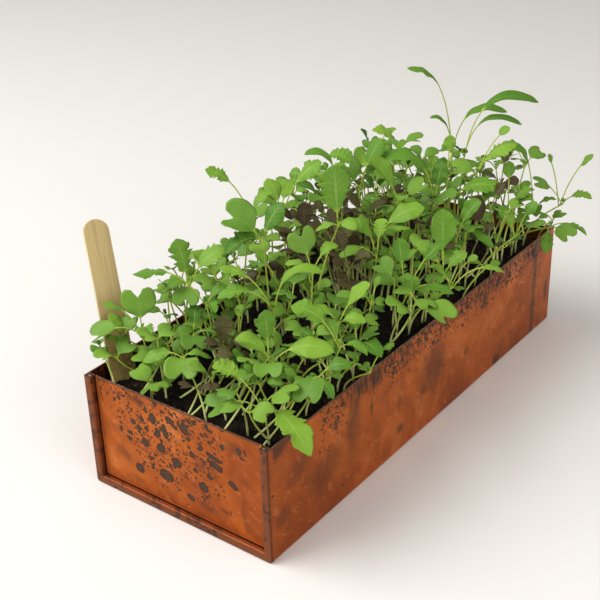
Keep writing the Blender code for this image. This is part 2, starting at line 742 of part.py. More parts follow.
def leaf_sweep(leaf, start, tip, roll, margin):
    """A stalk that widens into a blade, in one sweep."""
    form = LEAF_FORMS[leaf.form]
    blade = np.array(form.half_blade, float)
    straight = np.linalg.norm(tip - start)
    length = leaf.blade * MM
    blade_share = min(length / straight, LARGEST_BLADE_SHARE)
    stalk_share = 1 - blade_share
    stalk = np.array([0.0, 0.5] if stalk_share * straight > LONG_STALK else [0.0])
    shares = np.concatenate([stalk * stalk_share, stalk_share + blade[:, 0] * blade_share])
    half_width = np.concatenate([stalk * 0 + STALK_RADIUS, blade[:, 1] * form.width * length / 2])
    half_depth = np.concatenate([stalk * 0 + STALK_RADIUS, blade[:, 1] * 0 + LEAF_THICKNESS / 2])
    half_depth[len(stalk)] = STALK_RADIUS
    half_depth[-1] = 0
    lead = np.concatenate([stalk * 0, blade[:, 2] * length])
    path = leaf_path(start, tip, form.bend, LEAF_ARCH * (leaf.reach * MM) ** 2 / straight, shares)
    return sweep(path, leaf.heading * DEG, roll, half_width + margin, lead, half_depth + margin)


def leaf_starts(plant, path):
    """Where each leaf leaves the stem: the first pair lowest, and the youngest at the stem's top."""
    down = path[-2] - path[-1]
    down /= np.linalg.norm(down)
    for k, leaf in enumerate(plant.leaves):
        below = TOP_NODE_BELOW + NODE_SPACING * (len(plant.leaves) - 1 - max(k, 1))
        yield path[-1] + down * below + outward(leaf.heading, STALK_OFFSET)


def plant_sweeps(plant, foot, rolls, margin=0.0):
    """The stem and then each leaf of a seedling."""
    path, stem = stem_sweep(plant, foot, margin)
    sweeps = [stem]
    for leaf, roll, start in zip(plant.leaves, rolls, leaf_starts(plant, path)):
        tip = path[-1] + outward(leaf.heading, leaf.reach * MM, leaf.climb * MM)
        sweeps.append(leaf_sweep(leaf, start, tip, roll, margin))
    return sweeps


def joined(sweeps):
    points = np.concatenate([points for points, _ in sweeps])
    faces = []
    base = 0
    for part_points, part_faces in sweeps:
        faces += [tuple(base + k for k in face) for face in part_faces]
        base += len(part_points)
    return points, faces


def tree_of(points, faces):
    return BVHTree.FromPolygons(points.tolist(), faces)


def tree_of_piece(piece):
    points = [piece.matrix_world @ vertex.co for vertex in piece.data.vertices]
    return BVHTree.FromPolygons(points, [tuple(face.vertices) for face in piece.data.polygons])


def attempt_at(plant, number, attempt):
    """The planned seedling turned, shifted and shrunk by chance, further at each new attempt.

    Attempt 0 is the plan itself. Returns the seedling and its leaves' rolls.
    """
    rng = np.random.default_rng([PLANT_SEED, number, attempt])
    size = 1 - SHRINK_STEP * attempt
    turn = TURN_STEP / DEG * attempt
    leaves = []
    for leaf in plant.leaves:
        heading = leaf.heading + turn * rng.uniform(-1, 1)
        climb = leaf.climb + CLIMB_STEP / MM * attempt * rng.uniform(-1, 1)
        leaves.append(Leaf(leaf.form, heading, leaf.reach * size, climb, leaf.blade * size))
    shift = SHIFT_STEP / MM * attempt * rng.uniform(-1, 1, 2)
    heading = plant.heading + turn * rng.uniform(-1, 1)
    rolls = rng.uniform(-LARGEST_ROLL, LARGEST_ROLL, len(leaves))
    height = plant.height * size
    x, y = plant.x + shift[0], plant.y + shift[1]
    return Plant(plant.finish, x, y, heading, plant.reach, height, leaves), rolls


def seat(top, x, y):
    """A seedling's foot: just above the highest compost under its stem."""
    around = [(x + u * STEM_RADIUS, y + v * STEM_RADIUS) for u in (-1, 0, 1) for v in (-1, 0, 1)]
    return np.array([x, y, max(compost_height(top, *spot) for spot in around) + ROOT_GAP])


def foot_of(plant, top):
    x = plant.x * TRAY_WIDTH / PLANNED_TRAY_WIDTH
    y = plant.y * TRAY_LENGTH / PLANNED_TRAY_LENGTH
    return seat(top, x, y)


def label_sweep_tree(place):
    """The space that the label fills or passes through as it is pulled out."""
    high = LABEL_LENGTH - LABEL_BURIED + LABEL_TRAVEL
    outline = box_outline(LABEL_WIDTH / 2 + LABEL_MARGIN, -LABEL_BURIED, high)
    mesh = extruded("label_sweep", outline, LABEL_THICKNESS / 2 + LABEL_MARGIN)
    points = [place @ vertex.co for vertex in mesh.vertices]
    tree = BVHTree.FromPolygons(points, [tuple(face.vertices) for face in mesh.polygons])
    bpy.data.meshes.remove(mesh)
    return tree


def tree_with_margin(plant, foot, rolls):
    return tree_of(*joined(plant_sweeps(plant, foot, rolls, LEAF_MARGIN)))


def grow(plant, number, top, taken):
    """The first attempt at this seedling that clears everything there, with its tree, or None."""
    for attempt in range(PLANT_TRIES):
        grown, rolls = attempt_at(plant, number, attempt)
        foot = foot_of(grown, top)
        tree = tree_with_margin(grown, foot, rolls)
        if not any(tree.overlap(other) for other in taken):
            return (grown, foot, rolls), tree
    return None


def companion_at(plant, number, attempt):
    """A lesser seedling beside a planned one, with one pair of leaves, and its leaves' rolls."""
    rng = np.random.default_rng([COMPANION_SEED, number, attempt])
    far = plant.y / PLANNED_TRAY_LENGTH + 0.5
    heights = np.array([COMPANION_HEIGHTS_FRONT, COMPANION_HEIGHTS_REAR])
    low, high = heights[0] + (heights[1] - heights[0]) * far
    facing = rng.uniform(0, 360)
    leaves = []
    for side in (0, 180):
        heading = facing + side + rng.uniform(-COMPANION_SPREAD, COMPANION_SPREAD)
        reach = rng.uniform(*COMPANION_LEAF_REACH)
        leaves.append(Leaf("seed", heading, reach, rng.uniform(*COMPANION_LEAF_CLIMB), COMPANION_BLADE))
    heading = rng.uniform(0, 360)
    reach = rng.uniform(*COMPANION_REACH)
    height = rng.uniform(low, high)
    rolls = rng.uniform(-LARGEST_ROLL, LARGEST_ROLL, len(leaves))
    return Plant(plant.finish, plant.x, plant.y, heading, reach, height, leaves, COMPANION_LEAN), rolls


def grow_companion(number, plant, foot, taken):
    """The first companion of a seedling that clears everything but that seedling, or None."""
    start = stem_path(plant, foot, np.array([COMPANION_START]))[0]
    for attempt in range(COMPANION_TRIES):
        grown, rolls = companion_at(plant, number, attempt)
        tree = tree_with_margin(grown, start, rolls)
        if not any(tree.overlap(other) for other in taken):
            return (grown, start, rolls), tree
    return None


def make_seedling(number, growths, foot):
    """A seedling and its companion fused into one body, with its origin at the foot."""
    sweeps = []
    for plant, start, rolls in growths:
        sweeps += plant_sweeps(plant, start - foot, rolls)
    name = f"seedling_{number:02d}"
    seedling = add_piece(name, closed_mesh(name, *sweeps[0], False), plant.finish)
    leaves = add_piece("leaves", closed_mesh("leaves", *joined(sweeps[1:]), False), plant.finish)
    combine(seedling, leaves, "UNION")
    fill_voids(seedling.data)
    seedling.data.name = name
    seedling.location = foot


def make_seedlings(top, obstacles, label_frame):
    """The planned seedlings, then their companions. A tray too small for them all holds fewer."""
    fixed = [*obstacles, label_sweep_tree(label_frame)]
    growths = {}
    trees = {}
    for number, plant in enumerate(PLANTING_PLAN, 1):
        grown = grow(plant, number, top, fixed + list(trees.values()))
        if grown:
            growths[number], trees[number] = [grown[0]], grown[1]
    companion_trees = []
    for number, growth in growths.items():
        plant, foot, _ = growth[0]
        others = [tree for other, tree in trees.items() if other != number]
        grown = grow_companion(number, plant, foot, fixed + others + companion_trees)
        if grown:
            growth.append(grown[0])
            companion_trees.append(grown[1])
        make_seedling(number, growth, foot)


def main():
    clear_scene()
    trough = make_trough()
    panels = [make_end_panel("end_panel_front", -1), make_end_panel("end_panel_rear", 1)]
    make_bead_wire("bead_wire_front", -1)
    make_bead_wire("bead_wire_rear", 1)
    top = compost_grid()
    compost = make_compost(top)
    place = label_place()
    cut_label_slot(compost, place)
    make_label(place)
    bpy.context.view_layer.update()
    obstacles = [tree_of_piece(piece) for piece in (trough, *panels, compost)]
    make_seedlings(top, obstacles, place)


main()
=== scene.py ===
"""Looks of a copper seed tray with its compost, wooden plant label and salad seedlings.

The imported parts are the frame: sizes and places are read from them. Lengths are in metres,
X runs across the tray, Y along it and Z up. Every new surface is a grid of points worked out
with numpy, and every finish is a node material that reads Object coordinates or an attribute.
"""

import math
from collections import namedtuple
from functools import partial

import bpy
import numpy as np
from mathutils import Matrix, Vector
from mathutils.bvhtree import BVHTree


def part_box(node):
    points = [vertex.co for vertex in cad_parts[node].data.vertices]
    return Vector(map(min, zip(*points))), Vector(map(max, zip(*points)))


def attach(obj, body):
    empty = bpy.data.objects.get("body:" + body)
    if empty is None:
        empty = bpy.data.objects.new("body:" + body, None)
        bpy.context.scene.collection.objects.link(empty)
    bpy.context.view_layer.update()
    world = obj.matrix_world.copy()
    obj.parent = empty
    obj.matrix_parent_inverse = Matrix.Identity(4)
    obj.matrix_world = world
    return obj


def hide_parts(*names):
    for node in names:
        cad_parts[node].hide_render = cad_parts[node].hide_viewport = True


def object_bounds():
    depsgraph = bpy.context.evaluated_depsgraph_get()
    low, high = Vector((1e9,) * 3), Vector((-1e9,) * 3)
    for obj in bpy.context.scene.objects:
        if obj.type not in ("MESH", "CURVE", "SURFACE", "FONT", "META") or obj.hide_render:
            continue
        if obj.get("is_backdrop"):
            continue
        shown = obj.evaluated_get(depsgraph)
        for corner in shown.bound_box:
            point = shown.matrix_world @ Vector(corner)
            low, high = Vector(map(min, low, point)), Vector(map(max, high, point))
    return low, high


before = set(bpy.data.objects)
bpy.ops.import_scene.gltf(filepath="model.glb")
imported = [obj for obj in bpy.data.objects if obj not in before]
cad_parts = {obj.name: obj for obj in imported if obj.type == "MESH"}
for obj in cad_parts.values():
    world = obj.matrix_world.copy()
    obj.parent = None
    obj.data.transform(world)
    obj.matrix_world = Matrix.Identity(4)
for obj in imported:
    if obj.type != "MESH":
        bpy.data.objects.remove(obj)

bl_info = {
    "name": "Copper seed tray",
    "version": (1, 0, 0),
    "blender": (4, 5, 0),
    "location": "3D View > Sidebar > Seed tray",
    "description": "Dresses the seed tray's parts with copper, compost, wood and leaves",
    "category": "Object",
}

MM = 0.001
DEG = math.pi / 180
CAD_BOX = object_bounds()

# Sizes read from the frame, and the width of the bead's face
HALF_WIDTH, HALF_LENGTH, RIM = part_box("trough")[1]
SOIL_LOW, SOIL_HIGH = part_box("compost")
BEAD_FACE = 6.05 * MM

# The soil's level and crown, its grid's points across and along, the bevel round its foot, and
# its clods, lumps and crumbs: how far each lifts it and its size, in mm
SOIL_LEVEL = RIM - 12 * MM
SOIL_CROWN = 2 * MM
SOIL_GRID = (131, 321)
SOIL_BEVEL = 3 * MM
SOIL_GRAINS = ((1, 16), (0.8, 6), (0.6, 2.6), (0.35, 1.3))
CRUMB_SEED = 5

# The label's edge: how far its outline is inset in mm, at shares of half its thickness
LABEL_EDGE = [(0.7, 1), (0.22, 0.86), (0, 0.5)]

# The seedlings' growth, as in the part's source
PLANNED_TRAY_LENGTH = 376
PLANT_SEED = 20
PLANT_TRIES = 90
STEM_RADIUS = 0.75 * MM
STALK_RADIUS = 0.5 * MM
STALK_OFFSET = 0.35 * MM
LONG_STALK = 14 * MM
NODE_SPACING = 1.6 * MM
TOP_NODE_BELOW = 0.5 * MM
LEAF_THICKNESS = 0.5 * MM
LEAF_ARCH = 0.24
LARGEST_BLADE_SHARE = 0.85
LARGEST_ROLL = 18 * DEG
TURN_STEP = 1.6
CLIMB_STEP = 0.35
SHRINK_STEP = 0.007
SHIFT_STEP = 0.12
TIP_MATCH = 0.08 * MM

# The lesser seedling that springs from the foot of each planned one, with lengths in mm
COMPANION_SEED = 9
COMPANION_TRIES = 80
COMPANION_START = 0.15
COMPANION_LEAN = 0.75
COMPANION_HEIGHTS_FRONT = (16, 34)
COMPANION_HEIGHTS_REAR = (24, 66)
COMPANION_REACH = (9, 22)
COMPANION_LEAF_REACH = (12, 19)
COMPANION_LEAF_CLIMB = (-2, 9)
COMPANION_BLADE = 13
COMPANION_SPREAD = 25

# The fillers between them: how often each looks for a clear place, how near the sides and the
# ends it may stand, and how far it may hang over the tray
FILLER_SEED = 31
FILLER_TRIES = 8
FILLER_SIDES = 8
FILLER_SIDE_GAP, FILLER_END_GAP = 5 * MM, 6 * MM
FILLER_OVERHANG = 22 * MM
# The tallest filler's height in mm at the front end and how much is added towards the rear, the
# share of the green ones that are fresh, and the middle and reach of the patch of purple ones
CANOPY_FRONT, CANOPY_RISE = 26, 48
FRESH_SHARE = 0.62
PURPLE_MIDDLE = (-12 * MM, 15 * MM)
PURPLE_SIZE = (38 * MM, 45 * MM)
# Where the leaning fillers stand: shares of the soil's half width, and mm from its front end
LEANING_ACROSS = (-0.6, 0.85)
LEANING_FROM_END = (6, 50)

# A leaf's tip lies reach out from the stem's top at its heading, and climb above it. Its blade is
# the last part of that way. Headings are in degrees from +X towards +Y, and lengths in mm. A
# stem's lean is 0 where it leaves the compost upright and 0.5 where it runs straight to its top.
Leaf = namedtuple("Leaf", "form heading reach climb blade")
Plant = namedtuple("Plant", "finish x y heading reach height leaves lean", defaults=(0.0,))
Form = namedtuple("Form", "width bend half_blade")

# Each leaf form is its blade's width as a share of its length, where its stalk bends over as a
# share of its reach, and half a blade: (along the midrib, half width, edge's lead over the
# midrib). The last point is the tip or the notch.
LEAF_FORMS = {
    "notched": Form(1.2, 0.42, (
        (0, 0.12, 0), (0.2, 0.66, -0.02), (0.45, 1, 0.03), (0.66, 0.98, 0.14), (0.8, 0.5, 0.2),
    )),
    "seed": Form(1.15, 0.42, ((0.42, 1, 0.03), (1, 0, 0))),
    "oval": Form(0.68, 0.4, (
        (0, 0.12, 0), (0.14, 0.56, 0), (0.4, 1, 0), (0.68, 0.92, 0), (0.9, 0.5, 0), (1, 0, 0),
    )),
    "strap": Form(0.32, 0.15, (
        (0, 0.25, 0), (0.2, 0.8, 0), (0.5, 1, 0), (0.78, 0.8, 0), (1, 0, 0),
    )),
    "toothed": Form(0.72, 0.35, (
        (0, 0.1, 0), (0.2, 0.62, 0.05), (0.32, 0.5, 0), (0.48, 1, 0.08), (0.6, 0.72, 0),
        (0.76, 0.8, 0.08), (1, 0, 0),
    )),
}

# Half a blade of each form without its teeth, for the fine leaves
FINE_ENVELOPES = {
    "seed": (
        (0, 0.1, 0), (0.12, 0.4, -0.01), (0.3, 0.86, 0), (0.48, 1, 0.07), (0.6, 0.95, 0.16),
        (0.68, 0.78, 0.25), (0.71, 0.55, 0.28), (0.72, 0.3, 0.22),
    ),
    "notched": (
        (0, 0.1, 0), (0.1, 0.36, -0.01), (0.25, 0.76, -0.02), (0.43, 1, 0.05), (0.57, 1, 0.15),
        (0.66, 0.88, 0.27), (0.7, 0.62, 0.33), (0.72, 0.32, 0.27),
    ),
    "oval": (
        (0, 0.1, 0), (0.14, 0.56, 0), (0.4, 1, 0), (0.68, 0.9, 0), (0.9, 0.5, 0), (1, 0.03, 0),
    ),
    "strap": (
        (0, 0.2, 0), (0.25, 0.72, 0), (0.55, 1, 0), (0.82, 0.9, 0), (0.94, 0.6, 0), (1, 0.06, 0),
    ),
    "toothed": (
        (0, 0.08, 0), (0.16, 0.55, 0), (0.45, 1, 0), (0.72, 0.86, 0), (0.9, 0.45, 0),
        (1, 0.03, 0),
    ),
}
# A fine blade's teeth on a side, their depth as a share of the half width, its points along the
# midrib, how strongly its veins show, how much wider it grows than the plain form, by how many
# degrees it turns to face the window, and how much higher it arches, as a share of its way
Margin = namedtuple("Margin", "teeth depth stations veins spread turn rise")
MARGINS = {
    "seed": Margin(0, 0, 18, 0.3, 1, 10, 0),
    "notched": Margin(0, 0, 20, 0.25, 1, 10, 0),
    "oval": Margin(6, 0.08, 30, 0.8, 0.94, 12, 0),
    "strap": Margin(0, 0, 22, 0.3, 0.95, 22, 0.06),
    "toothed": Margin(6, 0.5, 54, 1, 1.08, 14, 0),
}
WINDOW_SIDE = 307

# The fine seedlings: stations and corners of their sweeps, how far up a stalk its last station
# is, how deep a foot is buried, a blade's half thickness, the share of a blade over which it
# grows out of its stalk, and the reach, climb and blade in mm of the tiny leaves at a tip
FINE_SEED = 7
STEM_STATIONS, STEM_SIDES = 10, 8
STALK_STATIONS, STALK_END = 7, 0.94
LEAF_SIDES, BUD_SIDES = 12, 6
BURIED = 2.5 * MM
THIN_BLADE, THIN_TIP = 0.16 * MM, 0.04 * MM
BLADE_EASE = 0.12
BUD = (2, 5, 4)

FRESH = "fresh_leaf"
DEEP = "deep_leaf"
PURPLE = "purple_leaf"


# Makes a leaf of each form from its heading, reach, climb and blade
notched, oval, strap, toothed = (
    partial(Leaf, form) for form in ("notched", "oval", "strap", "toothed")
)

# The planting plan, from the front end to the rear: where each seedling's foot is in a tray of the
# planned size, its stem's heading, reach and height, and its leaves
PLANTING_PLAN = tuple(Plant(*row[:6], row[6:]) for row in (
    (FRESH, -30, -173, 55, 3, 10, notched(165, 6, 15, 8), notched(30, 12, 3, 8),
        toothed(240, 11, -5, 7)),
    (FRESH, -45, -158, 150, 10, 36, toothed(225, 23, 22, 15), notched(228, 33, -4, 16),
        notched(140, 8, 25, 19), toothed(325, 20, 2, 18)),
    (DEEP, -18, -122, 225, 4, 52, toothed(215, 46, 22, 22), toothed(330, 18, 2, 12),
        oval(60, 16, 8, 14)),
    (FRESH, -52, -114, 340, 12, 58, toothed(165, 12, 29, 25), toothed(50, 26, 22, 24),
        notched(300, 18, -8, 15), oval(250, 16, 2, 15)),
    (FRESH, -24, -166, 135, 14, 19, notched(215, 20, 6, 16), oval(150, 14, 8, 12),
        oval(300, 14, 6, 13)),
    (FRESH, 14, -171, 155, 30, 32, oval(220, 26, -3, 17), notched(307, 22, -7, 18),
        oval(40, 18, -3, 15)),
    (DEEP, -30, -142, 40, 9, 34, notched(315, 18, -3, 15), toothed(30, 22, -2, 14),
        toothed(120, 14, 14, 15)),
    (PURPLE, -8, -146, 20, 16, 36, toothed(125, 5, 21, 20), notched(220, 14, 2, 10),
        toothed(310, 18, -2, 15)),
    (FRESH, 62, -168, 150, 8, 24, toothed(215, 29, 28, 20), notched(222, 34, -2, 17),
        toothed(345, 46, -12, 28), notched(5, 22, 15, 17)),
    (DEEP, 52, -146, 15, 28, 40, notched(280, 28, -9, 19), oval(340, 16, -6, 13),
        oval(30, 20, 9, 16)),
    (FRESH, 20, -145, 15, 25, 36, oval(30, 38, 10, 27), toothed(150, 10, 33, 22),
        notched(298, 20, 0, 15), oval(205, 24, 15, 22)),
    (FRESH, 62, -106, 350, 12, 44, toothed(200, 32, 24, 25), toothed(165, 14, 13, 14),
        toothed(10, 18, -2, 14)),
    (FRESH, 50, -88, 345, 10, 48, toothed(20, 18, 3, 14), oval(50, 21, 26, 22),
        oval(195, 19, 8, 15)),
    (DEEP, 62, -78, 320, 9, 33, notched(40, 14, 8, 13), oval(345, 24, 1, 20),
        oval(130, 16, 18, 17)),
    (FRESH, 14, -98, 300, 3, 48, toothed(205, 35, 28, 22), strap(37, 32, 26, 30),
        toothed(225, 36, 12, 20)),
    (DEEP, -4, -80, 255, 4, 86, notched(210, 24, 14, 22), toothed(235, 26, -7, 22),
        oval(60, 16, 22, 24)),
    (FRESH, 24, -72, 335, 4, 68, notched(180, 10, 26, 17), oval(220, 18, 6, 15),
        toothed(60, 18, 15, 14)),
    (FRESH, -32, -90, 205, 6, 48, notched(250, 16, 4, 14), toothed(190, 20, 20, 20),
        oval(330, 16, 6, 15)),
    (PURPLE, -8, -30, 205, 2, 55, toothed(205, 19, 17, 16), notched(225, 18, 11, 12),
        toothed(135, 7, 34, 20)),
    (PURPLE, 5, -12, 240, 2, 54, toothed(145, 8, 28, 18), toothed(40, 15, 16, 16),
        notched(215, 18, 22, 14)),
    (PURPLE, 22, -24, 300, 6, 50, toothed(170, 12, 24, 17), toothed(20, 16, 10, 15),
        notched(250, 14, 12, 13)),
    (FRESH, -52, -50, 330, 24, 90, toothed(210, 30, 32, 21), oval(60, 16, 13, 18),
        notched(320, 20, 3, 16)),
    (FRESH, -32, -24, 195, 3, 76, toothed(38, 29, 37, 26), notched(205, 17, 12, 14),
        oval(160, 18, 20, 20)),
    (FRESH, 16, -60, 20, 20, 96, toothed(150, 8, 38, 33), oval(225, 16, -4, 15),
        oval(340, 18, 2, 16)),
    (DEEP, -14, 22, 170, 4, 80, strap(215, 25, 27, 25), oval(195, 20, 7, 19),
        oval(340, 18, 12, 18)),
    (DEEP, -14, 44, 155, 3, 74, oval(50, 17, 36, 25), notched(175, 12, 15, 14),
        oval(270, 20, 10, 18)),
    (DEEP, 24, 76, 25, 5, 62, strap(215, 42, 33, 38), oval(90, 10, 28, 21),
        notched(330, 20, 6, 17)),
    (FRESH, 14, 48, 30, 4, 66, oval(205, 24, 34, 29), notched(50, 18, 14, 16),
        toothed(300, 20, 12, 19)),
    (FRESH, 25, 0, 0, 3, 52, oval(170, 14, 27, 21), notched(212, 30, 4, 18),
        toothed(110, 18, 20, 18)),
    (FRESH, 10, 20, 325, 8, 50, oval(40, 36, 24, 29), toothed(25, 26, 12, 19),
        toothed(200, 22, 10, 18)),
    (DEEP, 56, -16, 0, 8, 37, oval(147, 15, 36, 20), toothed(50, 27, 36, 23), oval(12, 33, 7, 19),
        notched(218, 22, 10, 17)),
    (FRESH, 62, -34, 5, 14, 38, notched(355, 34, -1, 19), notched(265, 17, 5, 15),
        toothed(110, 16, 16, 16)),
    (FRESH, 60, 16, 5, 14, 40, oval(135, 12, 45, 29), toothed(50, 16, 15, 17),
        toothed(200, 20, 19, 19)),
    (FRESH, 30, 84, 25, 4, 58, toothed(25, 44, 14, 31), oval(115, 14, 50, 15),
        toothed(200, 22, 10, 18)),
    (DEEP, 7, 135, 70, 3, 78, strap(215, 36, 66, 37), strap(35, 41, 30, 33),
        strap(210, 18, 26, 20)),
    (DEEP, 22, 124, 45, 4, 82, strap(37, 54, 40, 41), strap(28, 42, 25, 31), oval(240, 20, 8, 18)),
    (FRESH, 40, 106, 20, 6, 78, toothed(40, 30, 22, 28), oval(55, 26, 33, 12),
        notched(210, 18, 2, 16)),
    (DEEP, 60, 146, 10, 16, 42, strap(205, 20, 50, 30), oval(30, 16, 8, 14), oval(300, 20, 2, 16)),
    (FRESH, 60, 166, 5, 30, 42, toothed(200, 14, 40, 10), toothed(35, 20, 41, 16),
        toothed(10, 22, 8, 16), notched(215, 23, 19, 15)),
    (FRESH, 56, 160, 350, 32, 27, notched(350, 20, -5, 14), toothed(290, 22, -12, 16),
        toothed(20, 28, -4, 13)),
    (FRESH, 60, 116, 15, 10, 48, toothed(50, 15, 20, 16), oval(130, 11, 38, 15),
        oval(15, 18, 13, 18)),
    (FRESH, 62, 84, 40, 30, 40, toothed(190, 16, 19, 19), oval(60, 15, 24, 15),
        notched(10, 19, 9, 15)),
    (FRESH, 60, -6, 15, 30, 42, oval(45, 36, 8, 14), toothed(190, 18, 12, 15)),
    (PURPLE, 58, 76, 5, 14, 53, notched(190, 12, 18, 17), toothed(60, 14, 32, 13),
        toothed(310, 16, 4, 14)),
    (PURPLE, 44, 136, 20, 8, 60, toothed(95, 8, 27, 14), toothed(210, 16, 9, 14),
        notched(330, 16, 2, 12)),
    (PURPLE, -4, 34, 120, 2, 56, toothed(190, 14, 16, 16), toothed(40, 16, 11, 16),
        notched(290, 14, 6, 13)),
    (PURPLE, 34, 42, 10, 6, 57, toothed(195, 14, 14, 14), notched(30, 15, 4, 14),
        toothed(280, 16, 10, 15)),
    (DEEP, 12, 102, 50, 3, 63, notched(190, 18, 22, 18), notched(40, 32, 17, 18),
        oval(290, 20, 10, 18)),
    (DEEP, 54, 58, 10, 8, 60, oval(40, 14, 17, 20), strap(10, 25, -14, 28),
        notched(250, 16, 6, 16)),
    (FRESH, -48, 0, 200, 6, 64, notched(205, 18, 5, 16), toothed(330, 22, 12, 20),
        oval(100, 18, 18, 18)),
    (DEEP, -46, 46, 190, 5, 58, oval(215, 20, 12, 19), toothed(20, 22, 12, 19),
        notched(300, 18, 2, 16)),
    (FRESH, -42, 92, 190, 6, 64, toothed(200, 24, 12, 21), notched(100, 18, 8, 16),
        oval(330, 22, 14, 20)),
    (FRESH, -34, 140, 180, 8, 70, toothed(215, 22, 14, 20), notched(20, 18, 6, 16),
        oval(300, 22, 6, 20)),
))

# The copper's scattered spots, coarse to fine: how many to a metre, their size in their cell, and
# the share of the cells filled in the crowd on the front end, in those on the sides, and elsewhere
SPOT_SIZES = (
    (78, 0.3, 0, 0.12, 0.006),
    (165, 0.34, 0.34, 0.45, 0.012),
    (360, 0.38, 0.56, 0.75, 0.02),
    (640, 0.38, 0.3, 0.55, 0.01),
)
# Where the front end's spots crowd, in mm: the height of the crowd's middle, how far to the left
# that lies, and where the crowd ends and is full, out from the middle and upwards
FRONT_CROWD_MIDDLE = 42 * MM
FRONT_CROWD_LEFT = 4 * MM
FRONT_CROWD_OUT = (32, 8)
FRONT_CROWD_UP = (4, 40)
# Where a side's wear ends and is full, in mm upwards and along the side from its middle, towards
# the rear on the right side and towards the front on the left one
RIM_CROWD_UP = (56, 78)
RIM_CROWD_NEAR = (-74, -50)
RIM_CROWD_FAR = (176, 150)
NEAR_PATCH_MIDDLE = -121 * MM
NEAR_PATCH_OUT = (17, 7)
NEAR_PATCH_UP = (44, 70)
SOOT_UP = (72, 86)
SOOT_NEAR = (-140, -104)
STAIN_FROM_END = 31 * MM
STAIN_OUT = (5, 1)
# How finely the marks' edges are ragged, to a metre, and how far
RAGGED_SCALE = 290
RAGGED_SHIFT = 3.4 * MM
# Marks on the copper, in mm and degrees: how far along its face, how far up, half length, half
# height, tilt (else 0) and strength (else 1). The front end's are from its middle, the sides' from
# the tray's.
Mark = namedtuple("Mark", "along up length height tilt strength", defaults=(0, 1))
FRONT_BLOTCHES = (
    (-20, 70, 3.2, 5), (-5, 74, 4.4, 2.8, -30), (-10, 64, 2.6, 6.2, 5), (-17, 59, 3.4, 3),
    (-15, 49, 4.4, 4.4), (7, 73, 3.8, 4.8, -10), (-29, 48, 3.6, 3.6), (-38, 61, 2.8, 2.6),
    (-30, 66, 2.3, 2.8), (-33, 58, 2.8, 2), (-36, 25, 4.4, 4.2), (-12, 29, 7, 4.6, -10),
    (-2, 43, 4.8, 4.4, -20), (12, 55, 2.4, 2.8, -30), (10, 66, 1.8, 2), (30, 60, 7.4, 2.4, -12),
    (32, 54, 6.2, 3.4, -18), (45, 45, 4.8, 2.8, -28), (20, 33, 4.4, 4.2, -20),
    (8, 20, 4, 2.6, -25), (51, 73, 2, 3.2), (53, 69, 2.6, 1.4, -30), (56, 74, 1, 3, 10),
    (-50, 51, 1.8, 2.5), (-43, 46, 3, 1.8, -20), (-24, 31, 1.8, 2.6), (20, 64, 1.8, 2),
    (11, 80, 2.8, 1.8, -20), (28, 79, 2, 1.2, -20), (-53, 73, 1.8, 1.8),
)
FRONT_SMUDGES = (
    (-31, 79, 7, 5, -10, 0.9), (-50, 78, 6, 1.6, -5, 0.9), (-49, 31, 12, 6, -35, 0.45),
    (-39, 15, 12, 3.5, -15, 0.5), (46, 74, 13, 8, 0, 0.6), (18, 50, 6, 10, 0, 0.5),
    (38, 21, 8, 2, -12, 0.8), (22, 18, 11, 5, 0, 0.5), (57, 50, 9, 4, -25, 0.45),
    (-65, 72, 0.7, 9, 11, 1.6), (34, 70, 0.6, 8, 6, 1.2), (-8, 10, 0.7, 5, 30, 1.2),
)
SIDE_SMUDGES = (
    (-98, 56, 12, 40, -6, 0.65), (-128, 38, 30, 18, 15, 0.5), (2, 48, 24, 26, 0, 0.6),
    (-90, 79, 18, 9, 0, 0.8), (-71, 76, 11, 10, -20, 0.85), (-181, 81, 24, 10, 12, 1),
    (-166, 83, 26, 4, 4, 0.9), (-41, 19, 6, 5.5, 0, 0.75), (-77, 56, 3.2, 11, 0, 0.8),
    (98, 6, 8, 6, 0, 0.9), (49, 37, 5, 5, 0, 0.75), (75, 68, 4.5, 9, 0, 0.9),
    (-8, 59, 5, 5, 0, 0.8), (-10, 35, 8, 7, 0, 0.6), (180, 32, 6, 14, 0, 0.85),
    (-117, 66, 5, 7, -25, 0.9), (-175, 29, 11, 9, 20, 0.6), (-158, 55, 20, 11, 30, 0.45),
)

# The camera, at the photograph's angle
CAMERA_PLACE = (443.2 * MM, -628.9 * MM, 495.2 * MM)
CAMERA_AZIMUTH = 37.54 * DEG
CAMERA_PITCH = 28.36 * DEG
CAMERA_ROLL = 1.80 * DEG
CAMERA_LENS = 71.79
CAMERA_SENSOR = 36.0

# The soft lights: each one's place and size in metres, and its share of the main light's power
LIGHTS = {
    "window_light": ((-0.9, -0.9, 1.5), 1.6, 1.0),
    "fill_light": ((1.4, -0.4, 1.0), 1.4, 0.32),
}
LIGHT_AIM = (0.0, 0.0, 0.08)
ROOM_COLOUR = (1.0, 0.985, 0.96)
ROOM_STRENGTH = 0.42
FLOOR_COLOUR = (0.74, 0.72, 0.69)


def operator_pair(operation):
    """A Math node's operation as an operator of wires, and its reflected form."""

    def forward(wire, other):
        return wire.kit.math(operation, wire, other)

    def reflected(wire, other):
        return wire.kit.math(operation, other, wire)

    return forward, reflected


class Wire:
    """An output socket with arithmetic: an expression on wires adds its Math nodes."""

    def __init__(self, kit, socket):
        self.kit = kit
        self.socket = socket

    def __abs__(self):
        return self.kit.math("ABSOLUTE", self)

    __add__, __radd__ = operator_pair("ADD")
    __sub__, __rsub__ = operator_pair("SUBTRACT")
    __mul__, __rmul__ = operator_pair("MULTIPLY")
    __truediv__, __rtruediv__ = operator_pair("DIVIDE")
    __gt__, __lt__ = operator_pair("GREATER_THAN")


